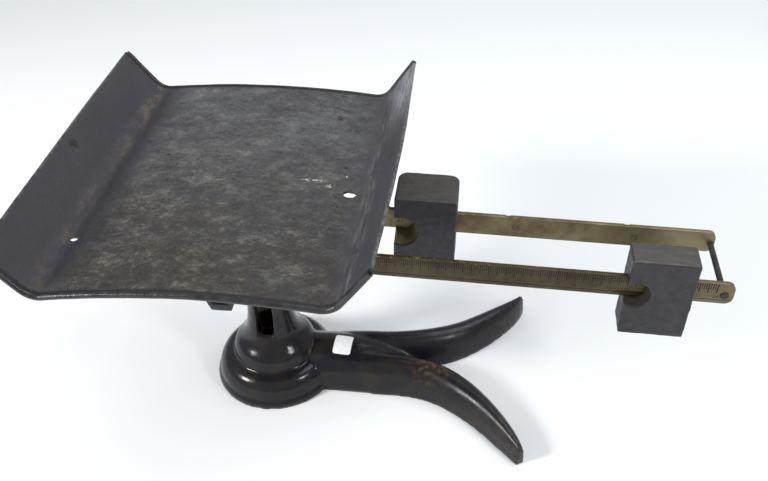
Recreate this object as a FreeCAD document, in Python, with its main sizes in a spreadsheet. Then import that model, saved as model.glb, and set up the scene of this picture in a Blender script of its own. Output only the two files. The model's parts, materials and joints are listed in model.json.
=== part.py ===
import FreeCAD, Part
import math
import os

import Sketcher

# Counter platform scale: a cast pedestal with a forked foot carries a double-bar brass beam on knife edges,
# and the beam lifts a bent sheet-iron tray through a carrier, two hangers and a stem with a check link.
# Millimetres, +Z up, +X along the beam, origin on the floor under the middle of the whole object.

doc = FreeCAD.newDocument("platform_scale")
V = FreeCAD.Vector

# Driving dimensions
DIMENSIONS = [
    # places: the pedestal's axis, the fulcrum, and the beam's slope as it rests on its stop
    ("axis_x", -152.9), ("pivot_x", 9), ("pivot_z", 214.8), ("droop", 2.3), ("load_arm", 27),
    # bell-shaped pedestal
    ("foot_rad", 75), ("flange_high", 6), ("bead_rad", 71.5), ("bead_low", 8.6), ("bead_top", 36),
    ("ledge_rad", 52.5), ("dome_rad", 50), ("dome_low", 38.5), ("neck_low", 79), ("neck_rad", 30),
    ("column_rad", 27), ("column_waist", 25.5), ("column_top", 180), ("shell", 5), ("bore_rad", 22.8),
    ("window_wide", 20), ("window_low", 76), ("window_high", 146),
    # head of the pedestal: cap, bearing ears and stop horns
    ("cap_high", 14), ("cap_wide", 56), ("cap_deep", 78), ("ear_wide", 20), ("ear_in", 21), ("ear_out", 30.4),
    ("ear_top", 206), ("horn_wide", 14), ("horn_top", 200), ("horn_reach", 66),
    # beam
    ("bar_high", 26), ("bar_thick", 5), ("bar_gap", 79), ("bar_start", -12), ("bar_end", 496.8),
    ("rear_bar_end", 491.5), ("bar_corner", 8), ("notch_pitch", 129.3), ("notch_first", 137.6),
    ("notch_wide", 3), ("notch_deep", 2.6),
    ("tie_at", 487.5), ("tie_drop", 2.2), ("tie_rad", 3.2), ("tie_end_rad", 2.2), ("head_rad", 4.2),
    ("plate_thick", 8), ("plate_high", 24), ("yoke_front", 62), ("yoke_back", -57), ("bridge", 12),
    ("arm_tip", 80), ("arm_wide", 18), ("tail_end", -126), ("tail_wide", 60), ("rivet_rad", 3),
    ("screw_rad", 2.5), ("screw_long", 42), ("ball_rad", 9), ("ball_wide", 12),
    # knife edges and their bearings
    ("knife_half", 4), ("knife_taper", 6.9), ("knife_deep", 11), ("bearing_wide", 18), ("bearing_gap", 0.15),
    ("bearing_lip", 6.2), ("load_y", 91), ("hanger_wide", 31), ("hanger_thick", 18),
    # poises
    ("front_poise_at", 387.6), ("front_poise_long", 66.4), ("front_poise_out", 14), ("front_poise_in", 13.4),
    ("rear_poise_at", 142), ("rear_poise_long", 68.5), ("rear_poise_out", 24), ("rear_poise_in", 25.5),
    ("poise_up", 31), ("poise_down", 40), ("slot_clear", 0.4), ("front_scoop", 16.5), ("rear_scoop", 19),
    ("scoop_end", 12.5), ("scoop_in", 8), ("plug_rad", 9), ("plug_deep", 8),
    # tray
    ("bed_top", 289.4), ("crown_rad", 1240), ("bed_half", 128), ("bend_rad", 22), ("wing_angle", 54),
    ("tray_half", 176.5), ("tray_deep", 390), ("sheet", 3), ("rim_high", 6.5), ("rim_wide", 4),
    # carrier under the tray
    ("spine_low", 260), ("spine_high", 12), ("spine_wide", 28), ("cross_y", 128), ("cross_half", 108),
    ("cross_wide", 22), ("pad_x", 96), ("pad_rad", 13), ("pad_top", 281.5), ("hub_rad", 20),
    ("stem_thick", 5), ("stem_wide", 10), ("stem_foot", 57), ("link_z", 50), ("eye_rad", 6), ("pin_rad", 2.5),
    ("link_plate", 3), ("link_gap", 5.4), ("cross_bar_low", 22), ("cross_bar_high", 7), ("cross_bar_half", 45),
    # forked foot
    ("trunk_wide", 74), ("trunk_high", 51), ("lip_high", 4), ("foot_shell", 5),
]
sheet = doc.addObject("Spreadsheet::Sheet", "dims")
for row, (alias, value) in enumerate(DIMENSIONS, start=1):
    sheet.set(f"A{row}", alias)
    sheet.set(f"B{row}", str(value))
    sheet.setAlias(f"B{row}", alias)
doc.recompute()


def dim(alias):
    """The sheet's own value of a driving dimension."""
    return float(sheet.get(alias))


# Helpers
def mm(expression):
    """Writes a sum of sheet aliases and numbers as an expression in millimetres."""
    words = expression.replace("(", " ( ").replace(")", " ) ")
    for sign in "+-*/":
        words = words.replace(sign, f" {sign} ")
    known = {alias for alias, _ in DIMENSIONS}
    return "(" + "".join(f"dims.{w}" if w in known else w for w in words.split()) + ") * 1 mm"


def place(obj, x="0", y="0", z="0"):
    """Binds an object's position to the sheet."""
    for axis, expression in zip("xyz", (x, y, z)):
        obj.setExpression(f"Placement.Base.{axis}", mm(expression))
    return obj


def box(name, size, corner):
    """A block from its lowest corner."""
    made = doc.addObject("Part::Box", name)
    for side, expression in zip(("Length", "Width", "Height"), size):
        made.setExpression(side, mm(expression))
    return place(made, *corner)


def cylinder(name, radius, height, base, axis=V(0, 0, 1)):
    """A round bar from the middle of its first face, along an axis."""
    made = doc.addObject("Part::Cylinder", name)
    made.setExpression("Radius", mm(radius))
    made.setExpression("Height", mm(height))
    made.Placement.Rotation = FreeCAD.Rotation(V(0, 0, 1), axis)
    return place(made, *base)


def fuse(name, shapes):
    made = doc.addObject("Part::MultiFuse", name)
    made.Shapes = shapes
    made.Refine = True
    return made


def cut(name, base, tools):
    """Base less every tool."""
    made = doc.addObject("Part::Cut", name)
    made.Base = base
    made.Tool = tools[0] if len(tools) == 1 else fuse(name + "_tools", tools)
    made.Refine = True
    return made


def new_body(name):
    return doc.addObject("PartDesign::Body", name)


def new_sketch(body, name, plane):
    sketch = body.newObject("Sketcher::SketchObject", name)
    origin = next(f for f in body.Origin.OriginFeatures if f.Role == plane)
    sketch.AttachmentSupport = [(origin, "")]
    sketch.MapMode = "FlatFace"
    return sketch


def polygon(body, name, plane, corners):
    """A sketch of straight lines whose corners are all bound to the sheet."""
    sketch = new_sketch(body, name, plane)
    count = len(corners)
    turns = [2 * math.pi * i / count for i in range(count)]
    start = [V(10 * math.cos(a), 10 * math.sin(a), 0) for a in turns]
    for i in range(count):
        sketch.addGeometry(Part.LineSegment(start[i], start[(i + 1) % count]), False)
    for i in range(count):
        sketch.addConstraint(Sketcher.Constraint("Coincident", i, 2, (i + 1) % count, 1))
    for i, corner in enumerate(corners):
        for kind, expression in zip(("DistanceX", "DistanceY"), corner):
            at = sketch.addConstraint(Sketcher.Constraint(kind, -1, 1, i, 1, 10.0))
            sketch.setExpression(f"Constraints[{at}]", mm(expression))
    return sketch


def circles(body, name, plane, centres, radius):
    """A sketch of equal circles."""
    sketch = new_sketch(body, name, plane)
    for i, centre in enumerate(centres):
        sketch.addGeometry(Part.Circle(V(20 * i, 0, 0), V(0, 0, 1), 2), False)
        for kind, expression in zip(("DistanceX", "DistanceY"), centre):
            at = sketch.addConstraint(Sketcher.Constraint(kind, -1, 1, i, 3, 1.0))
            sketch.setExpression(f"Constraints[{at}]", mm(expression))
        at = sketch.addConstraint(Sketcher.Constraint("Radius", i, 2.0))
        sketch.setExpression(f"Constraints[{at}]", mm(radius))
    return sketch


def pad(body, sketch, length, kind="PartDesign::Pad"):
    """A pad, or a pocket, that runs half its length to each side of its sketch."""
    feature = body.newObject(kind, f"{body.Name}_{sketch.Name}")
    feature.Profile = sketch
    feature.setExpression("Length", mm(length))
    feature.SideType = "Symmetric"
    sketch.Visibility = False
    body.Tip = feature
    doc.recompute()
    return feature


def pocket(body, sketch, length):
    return pad(body, sketch, length, "PartDesign::Pocket")


def round_edges(body, feature, radius, chosen):
    """Fillets the edges of a feature whose middle passes the test."""
    doc.recompute()
    names = []
    for i, edge in enumerate(feature.Shape.Edges, start=1):
        middle = edge.valueAt((edge.FirstParameter + edge.LastParameter) / 2)
        if chosen(middle, edge):
            names.append(f"Edge{i}")
    fillet = body.newObject("PartDesign::Fillet", f"{body.Name}_round_{len(body.Group)}")
    fillet.Base = (feature, names)
    fillet.setExpression("Radius", mm(radius))
    body.Tip = fillet
    doc.recompute()
    return fillet


def near(a, b, within=0.05):
    return abs(a - b) < within


KEPT = {}


def keep(obj, label):
    """Marks an object as a sub-part, and names its file."""
    obj.Label = label
    KEPT[label] = obj
    return obj


def keep_on_base(obj, label):
    """Base pieces are drawn about the pedestal's axis."""
    obj.setExpression("Placement.Base.x", mm("axis_x"))
    return keep(obj, label)


def keep_on_beam(obj, label):
    """Beam pieces are drawn level, with the fulcrum's edge at the origin, and lie at the beam's slope."""
    obj.Placement.Rotation = FreeCAD.Rotation(V(0, 1, 0), dim("droop"))
    place(obj, "axis_x + pivot_x", "0", "pivot_z")
    return keep(obj, label)


def keep_on_tray(obj, label):
    """Tray pieces are drawn about the vertical line through the load knife edges."""
    obj.setExpression("Placement.Base.x", mm("axis_x + pivot_x - load_arm"))
    return keep(obj, label)


# Pedestal casting
# Heights (0 at a curve's foot, 1 at its top) and radii (1 at its foot, 0 at its top) of the bead and the dome.
BEAD_CURVE = [(0, 0.963), (0.124, 1), (0.307, 0.968), (0.526, 0.868), (0.723, 0.705), (0.872, 0.5),
              (0.967, 0.258), (1, 0)]
DOME_CURVE = [(0, 1), (0.141, 0.98), (0.272, 0.9), (0.395, 0.76), (0.506, 0.55), (0.63, 0.34),
              (0.778, 0.16), (1, 0)]


def lathe_curve(shape, wide, narrow, low, high):
    """A smooth half-outline between two radii and two heights."""
    curve = Part.BSplineCurve()
    curve.interpolate([V(dim(narrow) + part * (dim(wide) - dim(narrow)), 0,
                         dim(low) + up * (dim(high) - dim(low))) for up, part in shape])
    return curve


def turned(name, edges):
    """Edges in the XZ plane turned about the vertical axis."""
    outline = doc.addObject("Part::Feature", name + "_outline")
    outline.Shape = Part.Wire(edges)
    made = doc.addObject("Part::Revolution", name)
    made.Source = outline
    made.Axis = V(0, 0, 1)
    made.Angle = 360
    made.Solid = True
    return made


def chain(points):
    """Straight edges through points given as radius and height."""
    corners = [V(r, 0, z) for r, z in points]
    return [Part.LineSegment(a, b).toShape() for a, b in zip(corners, corners[1:])]


def bell():
    """Foot flange, broad bead, dome and column, turned about the pedestal's axis."""
    bead = lathe_curve(BEAD_CURVE, "bead_rad", "ledge_rad", "bead_low", "bead_top")
    dome = lathe_curve(DOME_CURVE, "dome_rad", "neck_rad", "dome_low", "neck_low")
    foot = chain([(0, 0), (dim("foot_rad"), 0), (dim("foot_rad"), dim("flange_high")),
                  (dim("foot_rad") - 1.5, dim("flange_high") + 2), (bead.StartPoint.x, dim("bead_low"))])
    ledge = chain([(dim("ledge_rad"), dim("bead_top")), (dim("dome_rad"), dim("dome_low"))])
    column = chain([(dim("neck_rad"), dim("neck_low")), (27.4, 92), (dim("column_waist"), 110),
                    (dim("column_waist"), dim("column_top") - 30), (dim("column_rad"), dim("column_top")),
                    (0, dim("column_top")), (0, 0)])
    return turned("bell", foot + [bead.toShape()] + ledge + [dome.toShape()] + column)


def bell_hollow():
    """The space inside the bell and up the column, where the stem hangs."""
    bore, top = dim("bore_rad"), dim("column_top") + dim("cap_high") + 1
    inner = dim("dome_rad") - dim("shell")
    outline = [
        (0, -1), (dim("foot_rad") - dim("shell"), -1), (66, 10), (62.5, 22), (54, 30), (inner + 2, 33.5),
        (inner, 40), (41.5, 48), (35, 55), (28, 62), (bore, dim("neck_low") - 3), (bore, top), (0, top), (0, -1),
    ]
    return turned("bell_hollow", chain(outline))


# Centre line of the front leg, from inside the bell to the toe: x, y, width across and height of each section.
LEG_STATIONS = [
    (24, -14, 46, 42), (74, -15, 46, 43), (118, -17.5, 44, 45.5), (165, -22, 41, 44), (205, -33, 41, 41),
    (239, -54, 37, 37.5), (267, -80, 30, 34.5), (288, -104, 22, 30.5), (302, -125, 10, 25),
]
TRUNK_STATIONS = [(24, 1.0, 1.0), (74, 1.0, 0.99), (112, 0.98, 0.92), (142, 0.86, 0.73), (172, 0.6, 0.38)]


def arch_section(name, centre, heading, width, height, low=0.0):
    """An upright arched section: a flat sole, two short lips and a round back."""
    across = V(-math.sin(heading), math.cos(heading), 0)
    lip = min(dim("lip_high"), height * 0.4)
    turns = [math.pi * i / 8 for i in range(9)]
    back = [centre + across * (width / 2 * math.cos(t)) + V(0, 0, lip + (height - lip) * math.sin(t)) for t in turns]
    right = centre + across * (width / 2) + V(0, 0, low)
    left = centre - across * (width / 2) + V(0, 0, low)
    curve = Part.BSplineCurve()
    curve.interpolate(back)
    edges = [
        Part.LineSegment(left, right).toShape(), Part.LineSegment(right, back[0]).toShape(),
        curve.toShape(), Part.LineSegment(back[-1], left).toShape(),
    ]
    section = doc.addObject("Part::Feature", name)
    section.Shape = Part.Wire(edges)
    return section


def loft(name, sections):
    made = doc.addObject("Part::Loft", name)
    made.Sections = sections
    made.Solid = True
    made.Ruled = False
    return made


def headings(points):
    """The direction of a path at each of its points."""
    found = []
    for i in range(len(points)):
        before, after = points[max(i - 1, 0)], points[min(i + 1, len(points) - 1)]
        found.append(math.atan2(after[1] - before[1], after[0] - before[0]))
    return found


def leg(name, inset):
    """One leg of the fork. An inset draws the hollow under it instead."""
    stations = LEG_STATIONS if inset == 0 else LEG_STATIONS[:-2]
    sections = []
    for i, ((x, y, wide, high), heading) in enumerate(zip(stations, headings(stations))):
        at = V(x, y, 0)
        sections.append(arch_section(
            f"{name}_{i}", at, heading, wide - 2 * inset, high - inset, -1.0 if inset else 0.0))
    return loft(name, sections)


def trunk(name, inset):
    """The broad root between the bell and the fork."""
    sections = []
    for i, (x, wide, high) in enumerate(TRUNK_STATIONS if inset == 0 else TRUNK_STATIONS[:-1]):
        sections.append(arch_section(
            f"{name}_{i}", V(x, 0, 0), 0.0, wide * dim("trunk_wide") - 2 * inset,
            high * dim("trunk_high") - inset, -1.0 if inset else 0.0))
    return loft(name, sections)


def mirrored(name, source):
    made = doc.addObject("Part::Mirroring", name)
    made.Source = source
    made.Normal = V(0, 1, 0)
    return made


def pedestal_head():
    """Cap on the column, two ears for the fulcrum bearings, and the two horns that stop the beam."""
    parts = [box("cap", ("cap_wide", "cap_deep", "cap_high"), ("-cap_wide/2", "-cap_deep/2", "column_top - 2"))]
    for side, y in (("front", "-ear_out"), ("rear", "ear_in")):
        parts.append(box(f"ear_{side}", ("ear_wide", "ear_out - ear_in", "ear_top - column_top"),
                         ("pivot_x - ear_wide/2", y, "column_top")))
    horn = ("horn_reach - bore_rad - 2", "horn_wide", "horn_top - column_top")
    parts.append(box("horn_front", horn, ("bore_rad + 2", "-horn_wide/2", "column_top")))
    parts.append(box("horn_back", ("horn_reach - bore_rad - 12", "horn_wide", "horn_top - column_top"),
                     ("-horn_reach + 10", "-horn_wide/2", "column_top")))
    return parts


def check_shelves():
    """Two shelves inside the bell that the check bar is screwed up to."""
    shelves = []
    for side, y in (("front", "-dome_rad + 5.5"), ("rear", "dome_rad - 14.5")):
        shelves.append(box(f"shelf_{side}", ("12", "9", "19"),
                           ("pivot_x - 6", y, "cross_bar_low + cross_bar_high")))
    return shelves


def base_casting():
    wall = dim("foot_shell")
    front = leg("leg_front", 0)
    solid = fuse("base_solid", [bell(), trunk("trunk", 0), front, mirrored("leg_rear", front)] + pedestal_head())
    window = new_body("window")
    pad(window, polygon(window, "window_outline", "XZ_Plane", [
        ("-window_wide/2 - 1.5", "window_low"), ("window_wide/2 - 1.5", "window_low"),
        ("window_wide/2 - 1.5", "window_high"), ("-window_wide/2 - 1.5", "window_high")]), "4*column_rad")
    hollow = leg("leg_front_hollow", wall)
    tools = [bell_hollow(), window, trunk("trunk_hollow", wall), hollow, mirrored("leg_rear_hollow", hollow)]
    shell = cut("base_shell", solid, tools)
    whole = fuse("base_whole", [shell] + check_shelves())
    screws = [cylinder(f"shelf_hole_{side}", "2.05", "10", ("pivot_x", y, "cross_bar_low + cross_bar_high - 1"))
              for side, y in (("front", "-dome_rad + 10"), ("rear", "dome_rad - 10"))]
    keep_on_base(cut("base_casting", whole, screws), "base_casting")


# Bearings and knife edges
def bearing_block(name, upward):
    """A hardened block with a right-angled groove. Its groove's bottom is just clear of the knife's edge."""
    body = new_body(name)
    sign = 1 if upward else -1
    back, lip, groove = f"{-sign}*(pivot_z - ear_top)", f"{sign}*(bearing_lip - bearing_gap)", f"{-sign}*bearing_gap"
    corners = [
        ("-bearing_wide/2", back), ("bearing_wide/2", back), ("bearing_wide/2", lip), ("bearing_lip", lip),
        ("0", groove), ("-bearing_lip", lip), ("-bearing_wide/2", lip),
    ]
    pad(body, polygon(body, name + "_outline", "XZ_Plane", corners), "ear_out - ear_in")
    return body


def knife(name, upward, length):
    """A kite-shaped steel prism whose sharp edge lies on the body's origin."""
    body = new_body(name)
    sign = "-" if upward else ""
    corners = [
        ("0", "0"), ("knife_half", f"{sign}knife_taper"), ("knife_half", f"{sign}knife_deep"),
        ("-knife_half", f"{sign}knife_deep"), ("-knife_half", f"{sign}knife_taper"),
    ]
    pad(body, polygon(body, name + "_outline", "XZ_Plane", corners), length)
    return body


def fulcrum_pieces():
    """Bearings on the pedestal's ears, and the beam's knife edges that rock in them."""
    knives = []
    for side, sign in (("front", "-"), ("rear", "")):
        block = bearing_block(f"fulcrum_bearing_{side}", True)
        place(block, "axis_x + pivot_x", f"{sign}(ear_out + ear_in)/2", "pivot_z")
        keep(block, f"fulcrum_bearing_{side}")
        blade = knife(f"fulcrum_knife_{side}", False, "17")
        place(blade, "0", f"{sign}(ear_in + 8.8)", "0")
        knives.append(blade)
    return knives


def load_knives():
    blades = []
    for side, sign in (("front", "-"), ("rear", "")):
        blade = knife(f"load_knife_{side}", True, "30")
        place(blade, "-load_arm", f"{sign}(load_y - 9)", "0")
        blades.append(blade)
    return blades


# Beam
def rivets(side, sign):
    """Two rivets that hold a bar to its side plate, with round heads on both faces."""
    parts = []
    low, high = ("-bar_gap/2 - bar_thick", "-bar_gap/2 + plate_thick") if sign == "-" else (
        "bar_gap/2 - plate_thick", "bar_gap/2 + bar_thick")
    for i, at in enumerate(("18", "46")):
        parts.append(cylinder(f"rivet_{side}_{i}", "rivet_rad", "bar_thick + plate_thick + 3",
                              (at, f"{low} - 1.5", "0"), V(0, 1, 0)))
        for j, edge in enumerate((f"{low} - 2", high)):
            parts.append(cylinder(f"rivet_head_{side}_{i}_{j}", "rivet_rad + 2", "2", (at, edge, "0"), V(0, 1, 0)))
    return fuse(f"bar_rivets_{side}", parts)


def yoke(knives, rivet_groups):
    """The iron lever: two side plates, two bridges, the load arms and the heavy tail."""
    parts = []
    inner = "bar_gap/2 - plate_thick"
    for side, y in (("front", "-bar_gap/2"), ("rear", inner)):
        parts.append(box(f"plate_{side}", ("yoke_front - yoke_back", "plate_thick", "plate_high"),
                         ("yoke_back", y, "-plate_high/2")))
    for name, x in (("bridge_front", "yoke_front - bridge"), ("bridge_back", "yoke_back")):
        parts.append(box(name, ("bridge", "bar_gap - 2*plate_thick + 2", "plate_high"),
                         (x, f"-({inner}) - 1", "-plate_high/2")))
    for side, y in (("front", "-arm_tip"), ("rear", f"{inner} + 1")):
        arm = box(f"load_arm_{side}", ("arm_wide", "arm_tip - bar_gap/2 + plate_thick - 1", "plate_high/2 + 2"),
                  ("-load_arm - arm_wide/2", y, "-plate_high/2 - 1"))
        parts.append(arm)
    parts.append(box("tail", ("yoke_back - tail_end + 1", "tail_wide", "plate_high"),
                     ("tail_end", "-tail_wide/2", "-plate_high/2")))
    solid = fuse("yoke_solid", parts)
    hole = cylinder("balance_hole", "screw_rad", "15", ("tail_end - 1", "0", "0"), V(1, 0, 0))
    seats = [hole] + knives + rivet_groups
    keep_on_beam(cut("beam_yoke", solid, seats), "beam_yoke")


def bar(name, notched):
    """A flat brass bar with a rounded end, a hole for the tie rod and, on the rear one, three notches."""
    body = new_body(name)
    half = "bar_high/2"
    far = "rear_bar_end" if notched else "bar_end"
    top = [(far, half)]
    if notched:
        for i in (2, 1, 0):
            at = f"notch_first + {i}*notch_pitch"
            top += [(f"{at} + notch_wide/2", half), (at, f"{half} - notch_deep"), (f"{at} - notch_wide/2", half)]
    corners = [("bar_start", f"-{half}"), (far, f"-{half}")] + top + [("bar_start", half)]
    blank = pad(body, polygon(body, name + "_outline", "XZ_Plane", corners), "bar_thick")
    end = dim(far)
    rounded = round_edges(body, blank, "bar_corner",
                          lambda m, e: near(m.x, end) and near(abs(m.z), dim("bar_high") / 2))
    pocket(body, circles(body, name + "_tie_hole", "XZ_Plane", [("tie_at", "-tie_drop")], "tie_end_rad"),
           "3*bar_thick")
    y = "-(bar_gap + bar_thick)/2" if name.startswith("front") else "(bar_gap + bar_thick)/2"
    return place(body, "0", y, "0"), rounded


def tie_rod():
    """The rod that joins the bars' ends, shouldered between them and peened outside."""
    rod = cylinder("tie_middle", "tie_rad", "bar_gap", ("tie_at", "-bar_gap/2", "-tie_drop"), V(0, 1, 0))
    through = cylinder("tie_through", "tie_end_rad", "bar_gap + 2*bar_thick + 1",
                       ("tie_at", "-bar_gap/2 - bar_thick - 0.5", "-tie_drop"), V(0, 1, 0))
    heads = []
    for i, y in enumerate(("-bar_gap/2 - bar_thick - 1.2", "bar_gap/2 + bar_thick")):
        heads.append(cylinder(f"tie_head_{i}", "head_rad", "1.2", ("tie_at", y, "-tie_drop"), V(0, 1, 0)))
    keep_on_beam(fuse("tie_rod", [rod, through] + heads), "tie_rod")


def balance_gear():
    """A screw in the tail with a round nut that sets the empty beam level."""
    screw = cylinder("balance_screw", "screw_rad", "screw_long + 14",
                     ("tail_end - screw_long", "0", "0"), V(1, 0, 0))
    keep_on_beam(screw, "balance_screw")
    screw.Placement.Rotation = FreeCAD.Rotation(V(0, 1, 0), 90 + dim("droop"))
    reach = dim("tail_end") - dim("screw_long")
    tilt = math.radians(dim("droop"))
    start = V(reach * math.cos(tilt), 0, -reach * math.sin(tilt))
    screw.setExpression("Placement.Base.x", mm("axis_x + pivot_x") + f" + {start.x:.6f} mm")
    screw.setExpression("Placement.Base.z", mm("pivot_z") + f" + {start.z:.6f} mm")

    body = new_body("balance_nut")
    disc = pad(body, circles(body, "nut_outline", "YZ_Plane", [("0", "0")], "ball_rad"), "ball_wide")
    round_edges(body, disc, "ball_wide/2 - 1.5", lambda m, e: near(abs(m.x), dim("ball_wide") / 2))
    pocket(body, circles(body, "nut_hole", "YZ_Plane", [("0", "0")], "screw_rad + 0.05"), "3*ball_wide")
    place(body, "tail_end - screw_long/2", "0", "0")
    keep_on_beam(cut("balance_nut_placed", body, [cylinder(
        "nut_slot", "0.8", "2*ball_rad", ("tail_end - screw_long/2", "-ball_rad", "ball_rad"), V(0, 1, 0))]),
        "balance_nut")


def poise(name, at, long, out, inward, scoop_rad, back_round):
    """A cast block with a slot for its bar, a tapered scoop to read the bar through, and a lead plug below."""
    body = new_body(name)
    up, down = "bar_high/2 + poise_up", "-(bar_high/2 + poise_down)"
    corners = [(f"-({out}) - bar_thick/2", "0"), (f"{inward} + bar_thick/2", "0"),
               (f"{inward} + bar_thick/2", long), (f"-({out}) - bar_thick/2", long)]
    flat = [(y, x) for x, y in corners]
    sketch = polygon(body, name + "_plan", "XY_Plane", flat)
    block = body.newObject("PartDesign::Pad", name + "_block")
    block.Profile = sketch
    block.SideType = "Two sides"
    block.setExpression("Length", mm(up))
    block.setExpression("Length2", mm(f"0 - ({down})"))
    body.Tip = block
    doc.recompute()
    back = dim(inward) + dim("bar_thick") / 2
    step = round_edges(body, block, back_round,
                       lambda m, e: near(m.y, back) and near(e.Length, e.BoundBox.ZLength, 0.01))
    step = round_edges(body, step, "1.6", lambda m, e: near(m.z, dim("bar_high") / 2 + dim("poise_up"))
                       or near(m.z, -dim("bar_high") / 2 - dim("poise_down")))
    half_y, half_z = "bar_thick/2 + slot_clear", "bar_high/2 + slot_clear"
    slot = polygon(body, name + "_slot", "YZ_Plane", [
        (f"-({half_y})", f"-({half_z})"), (half_y, f"-({half_z})"), (half_y, half_z), (f"-({half_y})", half_z)])
    pocket(body, slot, f"3*({long})")
    y = "-(bar_gap + bar_thick)/2" if name.startswith("front") else "(bar_gap + bar_thick)/2"
    place(body, at, y, "0")
    plug = cylinder(name + "_plug", "plug_rad", "plug_deep", (f"{at} + ({long})/2", y, f"{down} + 0.5"))
    well = cylinder(name + "_well", "plug_rad", "plug_deep + 0.5", (f"{at} + ({long})/2", y, down))
    scoop = doc.addObject("Part::Cone", name + "_scoop")
    scoop.setExpression("Radius1", mm(scoop_rad))
    scoop.setExpression("Radius2", mm("scoop_end"))
    scoop.setExpression("Height", mm(f"({out}) + 0.5"))
    scoop.Placement.Rotation = FreeCAD.Rotation(V(0, 0, 1), V(0, 1, 0))
    place(scoop, f"{at} + scoop_in", f"{y} - bar_thick/2 - ({out}) - 0.2", "0")
    keep_on_beam(cut(name + "_cast", body, [well, scoop]), name)
    filled = fuse(name + "_lead", [plug, cylinder(name + "_lead_core", "plug_rad - 2", "plug_deep",
                                                  (f"{at} + ({long})/2", y, f"{down} + 0.5"))])
    keep_on_beam(filled, name + "_plug")


def beam():
    fulcrum = fulcrum_pieces()
    load = load_knives()
    groups = [rivets("front", "-"), rivets("rear", "")]
    yoke(fulcrum + load, groups)
    for side, group in zip(("front", "rear"), groups):
        solid, _ = bar(f"{side}_bar", side == "rear")
        keep_on_beam(cut(f"{side}_bar_drilled", solid, [group]), f"{side}_bar")
    knife_labels = ("fulcrum_knife_front", "fulcrum_knife_rear", "load_knife_front", "load_knife_rear")
    for label, blade in zip(knife_labels, fulcrum + load):
        copy = doc.addObject("Part::Compound", label + "_placed")
        copy.Links = [blade]
        keep_on_beam(copy, label)
    for side, group in zip(("front", "rear"), groups):
        copy = doc.addObject("Part::Compound", f"bar_rivets_{side}_placed")
        copy.Links = [group]
        keep_on_beam(copy, f"bar_rivets_{side}")
    tie_rod()
    balance_gear()
    poise("front_poise", "front_poise_at", "front_poise_long", "front_poise_out", "front_poise_in",
          "front_scoop", "2")
    poise("rear_poise", "rear_poise_at", "rear_poise_long", "rear_poise_out", "rear_poise_in",
          "rear_scoop", "11")


# Tray and carrier
def tray_line():
    """The tray's upper line from tip to tip: a wing, a bend, the crowned bed, and the same mirrored."""
    crown, bend = dim("crown_rad"), dim("bend_rad")
    lean, rise = math.asin(dim("bed_half") / crown), math.radians(dim("wing_angle"))
    top = V(0, 0, dim("bed_top"))
    end = V(dim("bed_half"), 0, dim("bed_top") - crown * (1 - math.cos(lean)))
    centre = end + V(math.sin(lean), 0, math.cos(lean)) * bend
    low = centre - V(0, 0, bend)
    finish = centre + V(math.sin(rise), 0, -math.cos(rise)) * bend
    tip = finish + V(1, 0, math.tan(rise)) * (dim("tray_half") - finish.x)

    def left(p):
        return V(-p.x, p.y, p.z)

    edges = [
        Part.LineSegment(left(tip), left(finish)), Part.Arc(left(finish), left(low), left(end)),
        Part.Arc(left(end), top, end), Part.Arc(end, low, finish), Part.LineSegment(finish, tip),
    ]
    return Part.Wire([e.toShape() for e in edges])


def bent_sheet(thickness, start, length):
    """The tray's line drawn out along Y and thickened downwards."""
    line = tray_line()
    line.translate(V(0, start, 0))
    skin = line.extrude(V(0, length, 0))
    solid = skin.makeOffsetShape(-thickness, 0.001, fill=True)
    if solid.isInside(V(0, start + length / 2, dim("bed_top") + 1), 0.01, True):
        solid = skin.makeOffsetShape(thickness, 0.001, fill=True)
    return Part.Solid(solid.Shells[0]) if not solid.Solids else solid.Solids[0]


def tray():
    deep, rim = dim("tray_deep"), dim("rim_wide")
    whole = bent_sheet(dim("sheet"), -deep / 2, deep)
    for start in (-deep / 2, deep / 2 - rim):
        whole = whole.fuse(bent_sheet(dim("rim_high"), start, rim))
    feature = doc.addObject("Part::Feature", "tray_bent")
    feature.Shape = whole.removeSplitter()
    holes = [cylinder(f"tray_hole_{i}", "rivet_rad", "20", (x, y, "pad_top - 5"))
             for i, (x, y) in enumerate(PAD_PLACES)]
    keep_on_tray(cut("platform_tray", feature, holes), "platform_tray")


PAD_PLACES = [(x, y) for x in ("-pad_x", "pad_x") for y in ("-cross_y", "cross_y")]


def tray_rivets():
    """One rivet through the tray and each pad of the carrier, hammered flush in a countersink above."""
    parts = []
    drop = dim("pad_x") ** 2 / (2 * dim("crown_rad"))
    for i, (x, y) in enumerate(PAD_PLACES):
        shank = cylinder(f"tray_rivet_{i}", "rivet_rad", f"bed_top - {drop:.3f} - spine_low - 2.6",
                         (x, y, "spine_low + 2"))
        tail = cylinder(f"tray_rivet_tail_{i}", "rivet_rad + 2", "2.5", (x, y, "spine_low - 0.5"))
        parts += [shank, tail]
    keep_on_tray(fuse("tray_rivets", parts), "tray_rivets")


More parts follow.
